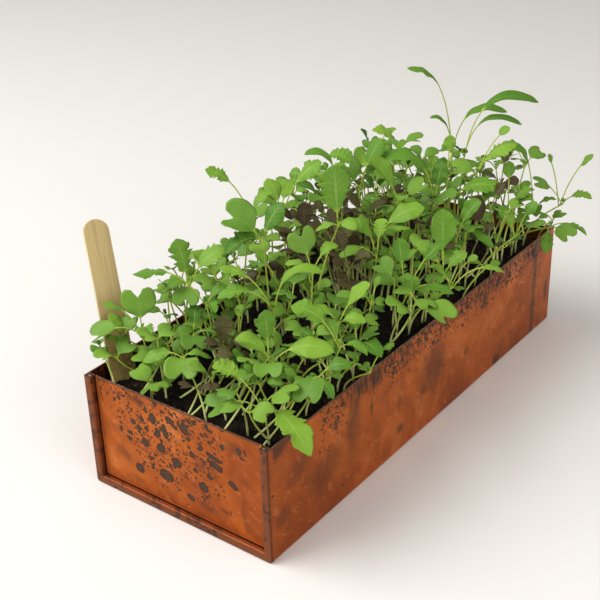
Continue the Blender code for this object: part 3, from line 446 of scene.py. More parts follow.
class FinishKit:
    """Builds one material's nodes around its Principled shader."""

    def __init__(self, name, colour, **constants):
        self.colour = colour
        self.material = bpy.data.materials.new(name)
        self.material.use_nodes = True
        self.tree = self.material.node_tree
        self.shader = self.tree.nodes["Principled BSDF"]
        for socket, value in constants.items():
            self.shader.inputs[socket.replace("_", " ")].default_value = value

    def node(self, kind, settings=None, inputs=None, output=0):
        """Adds a node of a type, with its settings first and then its sockets' values or links."""
        made = self.tree.nodes.new(kind)
        for name, value in (settings or {}).items():
            setattr(made, name, value)
        for socket, value in (inputs or {}).items():
            self.feed(made.inputs[socket], value)
        return Wire(self, made.outputs[output])

    def feed(self, socket, value):
        """Links a wire to a socket, or sets the socket's own value."""
        if isinstance(value, Wire):
            self.tree.links.new(value.socket, socket)
        elif hasattr(value, "__len__") and len(value) == 3 and socket.type == "RGBA":
            socket.default_value = (*value, 1.0)
        else:
            socket.default_value = value

    def math(self, operation, *values):
        return self.node("ShaderNodeMath", {"operation": operation}, dict(enumerate(values)))

    def most(self, first, second):
        return self.math("MAXIMUM", first, second)

    def least(self, first, second):
        return self.math("MINIMUM", first, second)

    def coordinates(self):
        """Places on the object itself, in metres."""
        return self.node("ShaderNodeTexCoord", output="Object")

    def attribute(self, name):
        """A vector that the mesh holds at its points."""
        return self.node("ShaderNodeAttribute", {"attribute_name": name}, output="Vector")

    def split(self, vector):
        """A vector's three numbers."""
        made = self.node("ShaderNodeSeparateXYZ", inputs={0: vector})
        return [Wire(self, socket) for socket in made.socket.node.outputs]

    def joined(self, x, y, z=0.0):
        """A vector from three numbers."""
        return self.node("ShaderNodeCombineXYZ", inputs={0: x, 1: y, 2: z})

    def step(self, value, low, high):
        """0 below low, 1 above high and smooth between; falling where low is the higher."""
        span = {0: value, 1: low, 2: high, 3: 0.0, 4: 1.0}
        if low > high:
            span = {0: value, 1: high, 2: low, 3: 1.0, 4: 0.0}
        return self.node("ShaderNodeMapRange", {"interpolation_type": "SMOOTHSTEP"}, span)

    def reach(self, value, span):
        """The same step, between two places in mm."""
        return self.step(value, span[0] * MM, span[1] * MM)

    def noise(self, vector, scale, detail=3.0, roughness=0.55, distortion=0.0):
        sockets = {"Vector": vector, "Scale": scale, "Detail": detail}
        sockets |= {"Roughness": roughness, "Distortion": distortion}
        return self.node("ShaderNodeTexNoise", inputs=sockets)

    def cells(self, vector, scale, dimensions):
        """Cells round scattered points: the distance to the nearest, and its random colour."""
        settings = {"voronoi_dimensions": dimensions, "feature": "F1"}
        distance = self.node("ShaderNodeTexVoronoi", settings, {"Vector": vector, "Scale": scale})
        return distance, Wire(self, distance.socket.node.outputs["Color"])

    def mix(self, first, second, share):
        """A colour between two, by share."""
        sockets = {0: share, 6: first, 7: second}
        return self.node("ShaderNodeMix", {"data_type": "RGBA"}, sockets, 2)

    def coat(self, tone, share):
        """Lays a tone over the material's colour so far, by share."""
        self.colour = self.mix(self.colour, tone, share)

    def finish(self, roughness, metallic=None, height=None, lift=1.0, depth=MM):
        """Links the shader's colour, roughness, metallic and bump."""
        feeds = {"Base Color": self.colour, "Roughness": roughness}
        if metallic is not None:
            feeds["Metallic"] = metallic
        if height is not None:
            sockets = {"Height": height, "Strength": lift, "Distance": depth}
            feeds["Normal"] = self.node("ShaderNodeBump", inputs=sockets)
        for socket, value in feeds.items():
            self.feed(self.shader.inputs[socket], value)
        return self.material


class CopperFace:
    """Places on the folded copper, and the noises that its wear shares.

    Every upright face is drawn on (x + y, z), which runs evenly along the ends and the sides.
    """

    def __init__(self, kit, slant):
        x, y, z = kit.split(kit.coordinates())
        along = x + y
        self.x, self.z, self.along = x, z, along
        self.length = length = along * math.cos(slant) - z * math.sin(slant)
        self.breadth = breadth = along * math.sin(slant) + z * math.cos(slant)
        self.flat = kit.joined(along, z)
        self.beside = HALF_WIDTH - abs(x)
        self.before_end = HALF_LENGTH - abs(y)
        self.way = y * kit.math("SIGN", x)
        self.on_front = kit.step(y, -HALF_LENGTH + 20 * MM, -HALF_LENGTH + 10 * MM)
        self.on_side = kit.reach(self.before_end, (5, 7))
        self.clouds = kit.noise(self.flat, 15, 4, 0.62, 0.8)
        self.smoke = kit.noise(kit.joined(along, z * 0.45, 3), 34, 5, 0.7, 1.4)
        self.mottle = kit.noise(kit.joined(length * 0.6, breadth, 5), 150, 4, 0.7, 0.5)
        self.scratch = kit.noise(kit.joined(length * 0.05, breadth * 1.5, 7), 900, 2, 0.5)
        self.ragged = kit.noise(self.flat, RAGGED_SCALE, 4, 0.72) * RAGGED_SHIFT
        self.jagged = kit.noise(kit.joined(along, z, 9), RAGGED_SCALE, 4, 0.72) * RAGGED_SHIFT

    def ragged_place(self, kit, across, strength, back):
        """A place on a face for marks, shifted by noise and then back by about half its span."""
        up = self.z + self.jagged * strength - back
        return kit.joined(across + self.ragged * strength - back, up)


def copper_finish(looks):
    """Aged copper: clouds, slanting scratches, smudges, dark blotches, soot and dull beads."""
    kit = FinishKit("aged_copper", looks.copper_colour, Specular_IOR_Level=0.3)
    face = CopperFace(kit, looks.blotch_slant)
    coat_clouds(kit, looks, face)
    front_place = face.ragged_place(kit, face.x, 1, 1.7 * MM)
    smudge = coat_smudges(kit, looks, face, front_place)
    share = coat_blotches(kit, looks, face, front_place)
    coat_soot(kit, looks, face)
    end_face = coat_beads(kit, looks, face)
    patina = kit.step(share, 0.05, 0.4)
    roughness = 0.4 + face.clouds * 0.12 + patina * 0.3
    metallic = 0.96 - patina * 0.7 - end_face * 0.3 - smudge * 0.2
    height = face.clouds * 0.6 + face.scratch * 0.05 - patina * 0.12
    return kit.finish(roughness, metallic, height, 0.35, 0.8 * MM)


def coat_clouds(kit, looks, face):
    """Brown clouds and smoke over the copper, painted highlights in bright patches, and scratches.
    """
    kit.coat(looks.copper_shade, kit.step(face.clouds, 0.38, 0.66))
    kit.coat(looks.copper_smoke, kit.step(face.smoke, 0.5, 0.74) * 0.6)
    kit.coat(looks.copper_smoke, kit.step(face.mottle, 0.54, 0.74) * 0.35)
    # Painted highlights: brighter copper in patches of the mottle and of the clouds
    kit.coat(looks.copper_bright, kit.step(face.mottle, 0.46, 0.3) * 0.4)
    kit.coat(looks.copper_bright, kit.step(face.clouds, 0.44, 0.3) * 0.45)
    strength = 0.08 + face.on_front * 0.14
    kit.coat(looks.copper_bright, kit.step(face.scratch, 0.54, 0.7) * strength)


def coat_smudges(kit, looks, face, front_place):
    """Brown smudges at places of their own, on the sides and the front end. Gives their share."""
    side_place = face.ragged_place(kit, face.way, 1.6, 2.7 * MM)
    smudge = marks(kit, side_place, SIDE_SMUDGES, 0.3) * face.on_side * (0.2 + face.smoke * 1.7)
    on_front = face.on_front * (0.45 + face.mottle)
    smudge = kit.most(smudge, marks(kit, front_place, FRONT_SMUDGES, 0.2) * on_front)
    smudge = kit.least(smudge, 1)
    kit.coat(looks.smudge_colour, smudge * 0.85)
    return smudge


def spot_areas(kit, face):
    """Where the spots crowd: round the front end's blotches, and below the sides' rims."""
    x, z, way = face.x, face.z, face.way
    out = abs(x + FRONT_CROWD_LEFT + (z - FRONT_CROWD_MIDDLE) * 0.25) - z * 0.35
    front = face.on_front * kit.reach(out, FRONT_CROWD_OUT) * kit.reach(z, FRONT_CROWD_UP)
    rim_band = kit.reach(way, RIM_CROWD_NEAR) * kit.reach(way, RIM_CROWD_FAR)
    rim_band = rim_band * kit.reach(z, RIM_CROWD_UP)
    near_patch = kit.reach(abs(way - NEAR_PATCH_MIDDLE), NEAR_PATCH_OUT)
    near_patch = near_patch * kit.reach(z, NEAR_PATCH_UP)
    return front, kit.most(rim_band, near_patch * 0.8) * face.on_side


def coat_blotches(kit, looks, face, front_place):
    """Dark blotches with greyer middles: the largest at places of their own, the rest scattered.

    Gives the share of the dark patina.
    """
    front_area, side_area = spot_areas(kit, face)
    length, breadth = face.length * 0.85 + face.ragged, face.breadth + face.jagged
    share = marks(kit, front_place, FRONT_BLOTCHES, 0.55) * face.on_front
    for scale, size, front_keep, side_keep, stray in SPOT_SIZES:
        wanted = kit.most(front_area * front_keep, side_area * side_keep) + stray
        share = kit.most(share, spots(kit, length, breadth, scale, size, wanted))
    kit.coat(looks.blotch_colour, kit.step(share, 0.05, 0.25) * 0.96)
    kit.coat(looks.blotch_middle, kit.step(share, 0.7, 1) * (0.5 + face.mottle * 0.6))
    return share


def coat_soot(kit, looks, face):
    """Soot that runs down from the sides' rims, and a stain near each side's far end."""
    streaks = kit.noise(kit.joined(face.along, face.z * 0.3, 1), 330, 3, 0.6)
    soot = kit.step(streaks, 0.42, 0.56) * kit.step(face.smoke, 0.34, 0.46) * face.on_side
    soot = soot * kit.reach(face.z + face.smoke * 16 * MM, SOOT_UP)
    kit.coat(looks.blotch_colour, soot * kit.reach(face.way, SOOT_NEAR) * 0.8)
    stain = kit.reach(abs(face.way - HALF_LENGTH + STAIN_FROM_END), STAIN_OUT)
    stain = stain * face.on_side * (0.25 + (face.x > 0) * 0.75)
    kit.coat(looks.blotch_middle, stain * (0.3 + face.smoke * 0.7))


def coat_beads(kit, looks, face):
    """The rim with a painted highlight along its top, the beads, their corners, and on the end
    panel beside the beads a painted highlight band and a painted shade line.

    Gives the share of the beads.
    """
    z, before_end = face.z, face.before_end
    kit.coat(looks.rim_colour, kit.step(z, RIM - 1.6 * MM, RIM - 0.5 * MM) * 0.85)
    # Painted highlight on the rim's top edge, uneven with the smoke noise
    rim_top = kit.step(z, RIM - 0.4 * MM, RIM - 0.1 * MM)
    kit.coat(looks.rim_worn, rim_top * (0.35 + face.smoke * 0.6))
    into_panel = kit.least(face.beside, z) - BEAD_FACE
    bead_inside = kit.reach(before_end, (3.9, 3.6)) * (into_panel > -0.3 * MM)
    end_face = kit.most(kit.reach(before_end, (1.4, 0.3)), bead_inside)
    chips = kit.step(kit.noise(face.flat, 85, 4, 0.7), 0.5, 0.6)
    kit.coat(kit.mix(looks.bead_colour, looks.bead_chip, chips), end_face * 0.94)
    corner = kit.reach(face.beside, (0.9, 0.1)) * kit.reach(before_end, (2.6, 0.6))
    kit.coat(looks.bead_chip, corner * 0.8)
    on_panel = kit.reach(before_end, (3.4, 3.9)) * face.on_front * (into_panel > 0)
    # Painted highlight: a bright band on the end panel 1.6 to 2.6 mm in from the bead
    kit.coat(looks.copper_bright, kit.reach(into_panel, (2.6, 1.6)) * on_panel * 0.6)
    # Painted shade: a dark line on the end panel in the crevice next to the bead
    kit.coat(looks.bead_chip, kit.reach(into_panel, (1.5, 0.6)) * on_panel)
    return end_face


def marks(kit, place, rows, sharpness):
    """The strongest of some oval marks: 0 at an edge, and its strength well inside."""
    share = 0.0
    for row in rows:
        mark = Mark(*row)
        sockets = {
            "Vector": place,
            "Location": (mark.along * MM, mark.up * MM, 0.0),
            "Rotation": (0.0, 0.0, mark.tilt * DEG),
            "Scale": (mark.length * MM, mark.height * MM, 1.0),
        }
        own = kit.node("ShaderNodeMapping", {"vector_type": "TEXTURE"}, sockets)
        distance = kit.node("ShaderNodeVectorMath", {"operation": "LENGTH"}, {0: own}, 1)
        share = kit.most(share, kit.step(distance, 1, sharpness) * mark.strength)
    return share


def spots(kit, length, breadth, scale, size, wanted):
    """Rounded spots of random sizes in a share wanted of the cells: 0 at the edge, 1 inside."""
    distance, draw = kit.cells(kit.joined(length, breadth), scale, "2D")
    chance, grade, _ = kit.split(draw)
    radius = size * (0.4 + grade * 0.85)
    edge = (radius - distance) / radius
    return kit.step(edge, 0, 0.5) * kit.step(chance + wanted, 1, 1.04)


def wire_finish(looks):
    """Tinned wire: bright, lightly dulled."""
    kit = FinishKit("tinned_wire", looks.wire_colour, Metallic=1.0)
    dull = kit.noise(kit.coordinates(), 500)
    kit.coat(looks.wire_dull, kit.step(dull, 0.45, 0.75))
    return kit.finish(0.25 + dull * 0.2)


def compost_finish(looks):
    """Moist dark compost: crumbs in near black and brown, with a few pale flecks."""
    kit = FinishKit("moist_compost", looks.compost_colour, Specular_IOR_Level=0.12)
    place = kit.coordinates()
    broad = kit.noise(place, 60, 4, 0.6)
    crumb = kit.noise(place, 800, 5, 0.75)
    kit.coat(looks.compost_brown, kit.step(crumb * 0.7 + broad * 0.3, 0.5, 0.6))
    distance, draw = kit.cells(place, 420, "3D")
    chance = kit.split(draw)[0]
    kit.coat(looks.fleck_colour, kit.step(distance, 0.34, 0.2) * (chance > 0.93) * 0.3)
    return kit.finish(0.88 + crumb * 0.1, None, crumb, 1.0, 1.2 * MM)


def crumb_finish(looks):
    """Crumbs and bits of bark: the shade of each from its own attribute."""
    kit = FinishKit("compost_crumb", looks.compost_colour, Specular_IOR_Level=0.12)
    tint = kit.split(kit.attribute("growth"))[0]
    grain = kit.noise(kit.coordinates(), 900)
    kit.coat(looks.compost_brown, kit.step(tint, 0.3, 0.9))
    kit.coat(looks.fleck_colour, kit.step(tint, 0.95, 1) * 0.5)
    return kit.finish(0.9, None, grain, 0.8, 0.5 * MM)


def wood_finish(looks):
    """Pale birch with fine lengthwise grain, a painted highlight along its edges, and soil marks
    at its foot.

    The growth attribute holds metres up the label, metres across it and metres through it.
    """
    kit = FinishKit("label_birch", looks.wood_colour, Specular_IOR_Level=0.3)
    growth = kit.attribute("growth")
    up, across, through = kit.split(growth)
    grain = kit.noise(kit.joined(up * 0.05, across, through), 900, 4, 0.6)
    streak = kit.noise(kit.joined(up * 0.03, across, 2), 260, 3, 0.5, 0.5)
    kit.coat(looks.wood_grain, kit.step(streak, 0.42, 0.68) * 0.5)
    kit.coat(looks.wood_grain, kit.step(grain, 0.5, 0.75) * 0.5)
    damp = kit.step(up + kit.noise(growth, 90) * 0.02, 0.076, 0.034)
    kit.coat(looks.wood_damp, damp * 0.72)
    half_width = label_frame()[2][0]
    # Painted highlight along the label's edges and a thin border of its faces, weaker lower down
    painted_edge_highlight = kit.step(abs(across), half_width - 0.75 * MM, half_width - 0.3 * MM)
    kit.coat(looks.wood_edge, painted_edge_highlight * (0.8 - damp * 0.55))
    stain = kit.noise(growth, 300, 4, 0.7) + across * 9
    kit.coat(looks.wood_soiled, kit.step(stain, 0.47, 0.62) * kit.step(up, 0.04, 0.004) * 0.8)
    return kit.finish(0.62 + grain * 0.15, None, grain, 0.3, 0.25 * MM)


def leaf_finish(name, fresh, deep, cool, vein, stalk, root, vein_share):
    """Leaf with midrib and side veins, on the growth attribute: (along, across, tint).

    Along runs from -2 at the root to -1 at the top of the stem, on to 0 where a blade starts
    and 1 at its tip. Across runs from -1 to 1. The traits attribute holds how strongly the
    veins show, a random phase, and 1 for a seed leaf, which is a cooler green.
    """
    kit = FinishKit(name, deep, Specular_IOR_Level=0.2)
    along, across, tint = kit.split(kit.attribute("growth"))
    strength, phase, seed_leaf = kit.split(kit.attribute("traits"))
    place = kit.coordinates()
    side = abs(across)

    patches = kit.noise(place, 110, 3, 0.5)
    mottle = kit.noise(place, 700, 2, 0.5)
    kit.coat(fresh, kit.step(tint + patches * 0.7 - 0.35, -0.2, 1.15))
    kit.coat(cool, seed_leaf * 0.45)

    veins = kit.math("FRACT", along * 6.5 - side * 1.9 + phase)
    line = kit.step(abs(veins - 0.5), 0.13, 0.02) * kit.step(side, 1, 0.3)
    midrib = kit.step(side, 0.11, 0.03) * kit.step(along, 1, 0.4)
    mark = kit.most(line * 0.55, midrib) * strength
    kit.coat(vein, mark * vein_share)
    kit.coat(vein, kit.step(side, 0.86, 1) * 0.25)

    kit.coat(kit.mix(stalk, root, kit.step(along, -1.35, -1.95)), kit.step(along, 0.1, -0.02))
    return kit.finish(0.42 + mottle * 0.16, None, mottle * 0.25 - mark * 0.6, 0.5, 0.3 * MM)


def curve_through(knots, at):
    """Values at the places asked for, on a smooth curve through the knots.

    Between two knots the curve is the cubic that meets both with the mean slope of the knots on
    each side, so it has no corner. knots holds (place, value, ...) rows.
    """
    knots = np.asarray(knots, float)
    place, value = knots[:, 0], knots[:, 1:]
    slope = np.gradient(value, place, axis=0)
    k = np.clip(np.searchsorted(place, at, side="right") - 1, 0, len(place) - 2)
    gap = (place[k + 1] - place[k])[:, None]
    t = np.clip((at - place[k])[:, None] / gap, 0, 1)
    start = value[k] * (1 + 2 * t) * (1 - t) ** 2 + slope[k] * gap * t * (1 - t) ** 2
    end = value[k + 1] * t**2 * (3 - 2 * t) + slope[k + 1] * gap * t**2 * (t - 1)
    return start + end


def smooth_noise(x, y, cell, seed):
    """Noise from -1 to 1: random values on a square lattice, eased between by 3t^2 - 2t^3.

    The lattice starts at the lowest of the places asked for.
    """
    i, j = np.floor(x / cell).astype(int), np.floor(y / cell).astype(int)
    u, v = x / cell - i, y / cell - j
    u, v = u * u * (3 - 2 * u), v * v * (3 - 2 * v)
    i, j = i - i.min(), j - j.min()
    lattice = np.random.default_rng(seed).uniform(-1, 1, (j.max() + 2, i.max() + 2))
    low = lattice[j, i] * (1 - u) + lattice[j, i + 1] * u
    high = lattice[j + 1, i] * (1 - u) + lattice[j + 1, i + 1] * u
    return low * (1 - v) + high * v


def grid_faces(rows, columns, wrap=False):
    """Quads of a grid of points, row by row. With wrap, each row closes on itself."""
    row = np.arange(rows - 1)[:, None] * columns
    column = np.arange(columns if wrap else columns - 1)[None, :]
    after = (column + 1) % columns
    corners = (row + column, row + after, row + columns + after, row + columns + column)
    return np.stack(corners, 2).reshape(-1, 4)


def tube_faces(rings, count):
    """Faces of a closed tube: quads between its rings, and a cap at each end."""
    last = (rings - 1) * count
    faces = grid_faces(rings, count, wrap=True).tolist()
    return faces + [tuple(range(count))[::-1], tuple(range(last, last + count))]


def new_piece(name, points, faces, material, attributes=None):
    """A smooth object at the origin with these points, faces and vector attributes."""
    mesh = bpy.data.meshes.new(name)
    mesh.from_pydata(np.asarray(points).reshape(-1, 3).tolist(), [], faces)
    for key, values in (attributes or {}).items():
        made = mesh.attributes.new(key, "FLOAT_VECTOR", "POINT")
        made.data.foreach_set("vector", np.ascontiguousarray(values, np.float32).ravel())
    mesh.materials.append(material)
    mesh.shade_smooth()
    piece = bpy.data.objects.new(name, mesh)
    bpy.context.scene.collection.objects.link(piece)
    return piece


class Crop:
    """Gathers closed forms with their attributes, to be made into one piece."""

    def __init__(self):
        self.points = []
        self.faces = []
        self.growth = []
        self.traits = []
        self.count = 0

    def add(self, points, faces, growth, traits=(0.0, 0.0, 0.0)):
        self.faces += [tuple(self.count + k for k in face) for face in faces]
        self.points.append(points)
        self.growth.append(growth)
        self.traits.append(np.broadcast_to(traits, growth.shape))
        self.count += len(points)

    def piece(self, name, material):
        """All the forms as one object."""
        attributes = {"growth": np.concatenate(self.growth), "traits": np.concatenate(self.traits)}
        return new_piece(name, np.concatenate(self.points), self.faces, material, attributes)


def outward(heading, reach, rise=0.0):
    """A step of the given reach at a heading in degrees, and of the given rise."""
    return np.array([reach * math.cos(heading * DEG), reach * math.sin(heading * DEG), rise])


def curve(start, middle, end, shares):
    """Points at the given shares of a quadratic curve drawn towards its middle control point."""
    shares = shares[:, None]
    return start * (1 - shares) ** 2 + middle * 2 * shares * (1 - shares) + end * shares**2


def stem_path(plant, foot, shares):
    """Points up a stem, from its foot to its top."""
    top = foot + outward(plant.heading, plant.reach * MM, plant.height * MM)
    middle = foot + outward(plant.heading, plant.reach * plant.lean * MM, plant.height / 2 * MM)
    return curve(foot, middle, top, shares)


def leaf_path(start, tip, bend, arch, shares):
    """Points along a leaf: up towards its bend, a share of its reach, then over to its tip."""
    way = tip - start
    middle = start + way * (bend, bend, 1 - bend) + outward(0, 0, 2 * arch)
    return curve(start, middle, tip, shares)


def section(sides):
    """The cosine and the sine of each corner's angle round a section."""
    angle = np.arange(sides) * 2 * math.pi / sides
    return np.cos(angle), np.sin(angle)


def sweep(path, heading, roll, sides, width, depth, lead=None, relief=None):
    """A closed form carried along a path, with an oval section turned by roll.

    A section's point at angle a lies width * cos(a) to the left and depth * sin(a) above the
    path. lead moves it ahead by lead * |cos(a)|^1.3, and relief lifts it. width, depth and
    relief hold a value for each station and angle, or one for each station.
    """
    cosine, sine = section(sides)
    width, depth = (np.broadcast_to(each.T, (sides, len(path))).T for each in (width, depth))
    way = np.gradient(path, axis=0)
    way /= np.linalg.norm(way, axis=1)[:, None]
    level = np.array([-math.sin(heading), math.cos(heading), 0.0])
    normal = np.cross(way, level)
    side = math.cos(roll) * level + math.sin(roll) * normal
    up = math.cos(roll) * normal - math.sin(roll) * level
    out = path[:, None] + side[:, None] * (width * cosine)[..., None]
    lifted = depth * sine + (0 if relief is None else relief)
    out = out + up[:, None] * lifted[..., None]
    if lead is not None:
        out = out + way[:, None] * (lead[:, None] * np.abs(cosine) ** 1.3)[..., None]
    return out.reshape(-1, 3), tube_faces(len(path), sides)


def leaf_layout(leaf, start, tip):
    """A leaf's blade as a share of its way, its stalk's share and its arch."""
    straight = np.linalg.norm(tip - start)
    blade_share = min(leaf.blade * MM / straight, LARGEST_BLADE_SHARE)
    return blade_share, 1 - blade_share, LEAF_ARCH * (leaf.reach * MM) ** 2 / straight


def leaf_tip(top, leaf):
    """Where a leaf that grows from a stem's top ends."""
    return top + outward(leaf.heading, leaf.reach * MM, leaf.climb * MM)


def leaf_ends(plant, path):
    """Each leaf with its start and tip: the first pair lowest, the youngest at the stem's top."""
    down = path[-2] - path[-1]
    down /= np.linalg.norm(down)
    for k, leaf in enumerate(plant.leaves):
        below = TOP_NODE_BELOW + NODE_SPACING * (len(plant.leaves) - 1 - max(k, 1))
        start = path[-1] + down * below + outward(leaf.heading, STALK_OFFSET)
        yield leaf, start, leaf_tip(path[-1], leaf)


def coarse_sweeps(plant, foot, rolls):
    """The seedling's stem and leaves with four-sided sections, as in the part's source."""
    path = stem_path(plant, foot, np.linspace(0, 1, 4))
    radius = np.linspace(STEM_RADIUS, STALK_RADIUS, 4)
    sweeps = [sweep(path, plant.heading * DEG, 45 * DEG, 4, radius, radius)]
    for (leaf, start, tip), roll in zip(leaf_ends(plant, path), rolls):
        form = LEAF_FORMS[leaf.form]
        blade = np.array(form.half_blade, float)
        length = leaf.blade * MM
        blade_share, stalk_share, arch = leaf_layout(leaf, start, tip)
        long_stalk = stalk_share * np.linalg.norm(tip - start) > LONG_STALK
        stalk = np.array([0.0, 0.5] if long_stalk else [0.0])
        shares = np.concatenate([stalk * stalk_share, stalk_share + blade[:, 0] * blade_share])
        width = np.concatenate([stalk * 0 + STALK_RADIUS, blade[:, 1] * form.width * length / 2])
        depth = np.concatenate([stalk * 0 + STALK_RADIUS, blade[:, 1] * 0 + LEAF_THICKNESS / 2])
        depth[len(stalk)] = STALK_RADIUS
        depth[-1] = 0
        lead = np.concatenate([stalk * 0, blade[:, 2] * length])
        way = leaf_path(start, tip, form.bend, arch, shares)
        sweeps.append(sweep(way, leaf.heading * DEG, roll, 4, width, depth, lead))
    return sweeps


def add_stem(crop, plant, foot, tint, buried):
    """A round stem that tapers upwards from a little below its foot."""
    path = stem_path(plant, foot, np.linspace(0, 1, STEM_STATIONS))
    radius = np.linspace(STEM_RADIUS, STALK_RADIUS, STEM_STATIONS)
    path[0] -= (path[1] - path[0]) / np.linalg.norm(path[1] - path[0]) * buried
    points, faces = sweep(path, plant.heading * DEG, 0.0, STEM_SIDES, radius, radius)
    along = np.repeat(np.linspace(-2, -1, STEM_STATIONS), STEM_SIDES)
    crop.add(points, faces, np.stack([along, along * 0, along * 0 + tint], 1))
    return path


def blade_widths(margin, half, share, cosine, rng):
    """Half a toothed blade's width at each station and corner.

    It is the envelope's half width times 1 - depth * (1 - saw), where saw rises from 0 to 1
    along each tooth and falls back at once, so that the teeth point ahead. A finer saw of three
    teeth rides on each tooth.
    """
    teeth = margin.teeth * rng.choice([0.7, 1.0, 1.2])
    cut = margin.depth * rng.uniform(0.75, 1.2) * (6 / max(teeth, 1)) ** 0.5
    widths = []
    for phase in rng.uniform(0, 1, 2):
        saw = (teeth * share**0.9 + phase) % 1
        fine = (teeth * 3 * share + phase * 5) % 1
        uneven = 0.8 + 0.35 * np.sin(2 * math.pi * (1.4 * share + phase))
        body = np.sin(math.pi * share**0.8) ** 0.5
        notch = cut * uneven * (0.8 * (1 - saw) + 0.2 * (1 - fine)) * body
        widths.append((half * (1 - notch))[:, None])
    return np.maximum(np.where(cosine >= 0, *widths), 0.02 * MM)


def blade_depths(share, cosine):
    """Half a blade's thickness: thin, with a rib along the middle that thins towards the tip."""
    rib = np.exp(-share / 0.25) * (STALK_RADIUS * 0.8 - THIN_BLADE) + THIN_BLADE
    rib[-1] = THIN_TIP
    beside = np.minimum(THIN_BLADE, rib)
    depth = np.where(np.abs(cosine) < 0.3, rib[:, None], beside[:, None])
    ease = np.clip(1 - share / BLADE_EASE, 0, 1)[:, None]
    return np.maximum(depth, THIN_TIP) * (1 - ease) + STALK_RADIUS * 0.85 * ease


def blade_relief(margin, half, share, cosine, length, rng):
    """How far a blade's surface is lifted, with v from 0 at the midrib to 1 at the edge.

    It is cup * half width * v^2, plus a ruffle that waves along each edge and grows with v^2,
    less a dip along the midrib.
    """
    cup = rng.uniform(-0.25, 0.4)
    ruffle = rng.uniform(0.01, 0.035) * length * (1.4 if margin.teeth else 0.8)
    beat = 2 * math.pi * rng.uniform(1.2, 2.6)
    shifts = rng.uniform(0, 2 * math.pi, 2)
    wave = np.where(cosine >= 0, *(np.sin(beat * share + shift)[:, None] for shift in shifts))
    body = np.sin(math.pi * share**0.8)[:, None]
    relief = cup * half[:, None] * cosine**2 + ruffle * wave * cosine**2 * body
    relief = relief - 0.25 * MM * np.exp(-((cosine / 0.25) ** 2)) * body
    return relief * np.clip(share / BLADE_EASE, 0, 1)[:, None]


def add_leaf(crop, leaf, start, tip, roll, rng, sides=LEAF_SIDES):
    """A stalk that widens into a blade: its outline, teeth, cup, ruffle and midrib."""
    form, margin = LEAF_FORMS[leaf.form], MARGINS[leaf.form]
    envelope = FINE_ENVELOPES[leaf.form]
    share = np.linspace(0, 1, margin.stations)
    if not margin.teeth:
        share = 1 - (1 - share) ** 1.5
    end = envelope[-1][0]
    outline = curve_through(envelope, share * end)
    stalk = np.linspace(0, STALK_END, STALK_STATIONS)
    length = leaf.blade * MM
    blade_share, stalk_share, arch = leaf_layout(leaf, start, tip)
    arch += margin.rise * np.linalg.norm(tip - start)
    shares = np.concatenate([stalk * stalk_share, stalk_share + share * end * blade_share])
    path = leaf_path(start, tip, form.bend, arch, shares)

    cosine, _ = section(sides)
    half = np.maximum(outline[:, 0], 0.02) * form.width * margin.spread * length / 2
    flat = np.zeros((STALK_STATIONS, sides))
    stalk_radius = flat + STALK_RADIUS * 0.9
    width = np.concatenate([stalk_radius, blade_widths(margin, half, share, cosine, rng)])
    depth = np.concatenate([stalk_radius, blade_depths(share, cosine)])
    relief = np.concatenate([flat, blade_relief(margin, half, share, cosine, length, rng)])
    lead = np.concatenate([flat[:, 0], outline[:, 1] * length])
    roll = roll - margin.turn * DEG * math.cos((leaf.heading + 90 - WINDOW_SIDE) * DEG)
    points, faces = sweep(path, leaf.heading * DEG, roll, sides, width, depth, lead, relief)

    along = np.concatenate([stalk - 1, share])[:, None] + np.zeros(sides)
    across = np.concatenate([flat, np.broadcast_to(cosine, (len(share), sides))])
    tint = np.full(along.shape, rng.uniform(0, 1))
    growth = np.stack([along, across, tint], 2).reshape(-1, 3)
    traits = (margin.veins, rng.uniform(0, 1), leaf.form in ("seed", "notched"))
    crop.add(points, faces, growth, traits)


def add_plant(crop, plant, foot, rolls, rng, sides=LEAF_SIDES, buried=BURIED):
    """A whole seedling: stem, leaves and the two tiny leaves at its tip."""
    path = add_stem(crop, plant, foot, rng.uniform(0, 1), buried)
    for (leaf, start, tip), roll in zip(leaf_ends(plant, path), rolls):
        add_leaf(crop, leaf, start, tip, roll, rng, sides)
    for _ in range(2):
        bud = oval(rng.uniform(0, 360), *BUD)
        add_leaf(crop, bud, path[-1], leaf_tip(path[-1], bud), 0.0, rng, BUD_SIDES)


def attempt_at(plant, number, attempt):
    """The planned seedling turned, shifted and shrunk by chance, as in the part's source."""
    rng = np.random.default_rng([PLANT_SEED, number, attempt])
    size = 1 - SHRINK_STEP * attempt
    turn = TURN_STEP * attempt
    leaves = []
    for leaf in plant.leaves:
        heading = leaf.heading + turn * rng.uniform(-1, 1)
        climb = leaf.climb + CLIMB_STEP * attempt * rng.uniform(-1, 1)
        leaves.append(Leaf(leaf.form, heading, leaf.reach * size, climb, leaf.blade * size))
    x, y = (plant.x, plant.y) + SHIFT_STEP * attempt * rng.uniform(-1, 1, 2)
    heading = plant.heading + turn * rng.uniform(-1, 1)
    rolls = rng.uniform(-LARGEST_ROLL, LARGEST_ROLL, len(leaves))
    height = plant.height * size
    return plant._replace(x=x, y=y, heading=heading, height=height, leaves=leaves), rolls


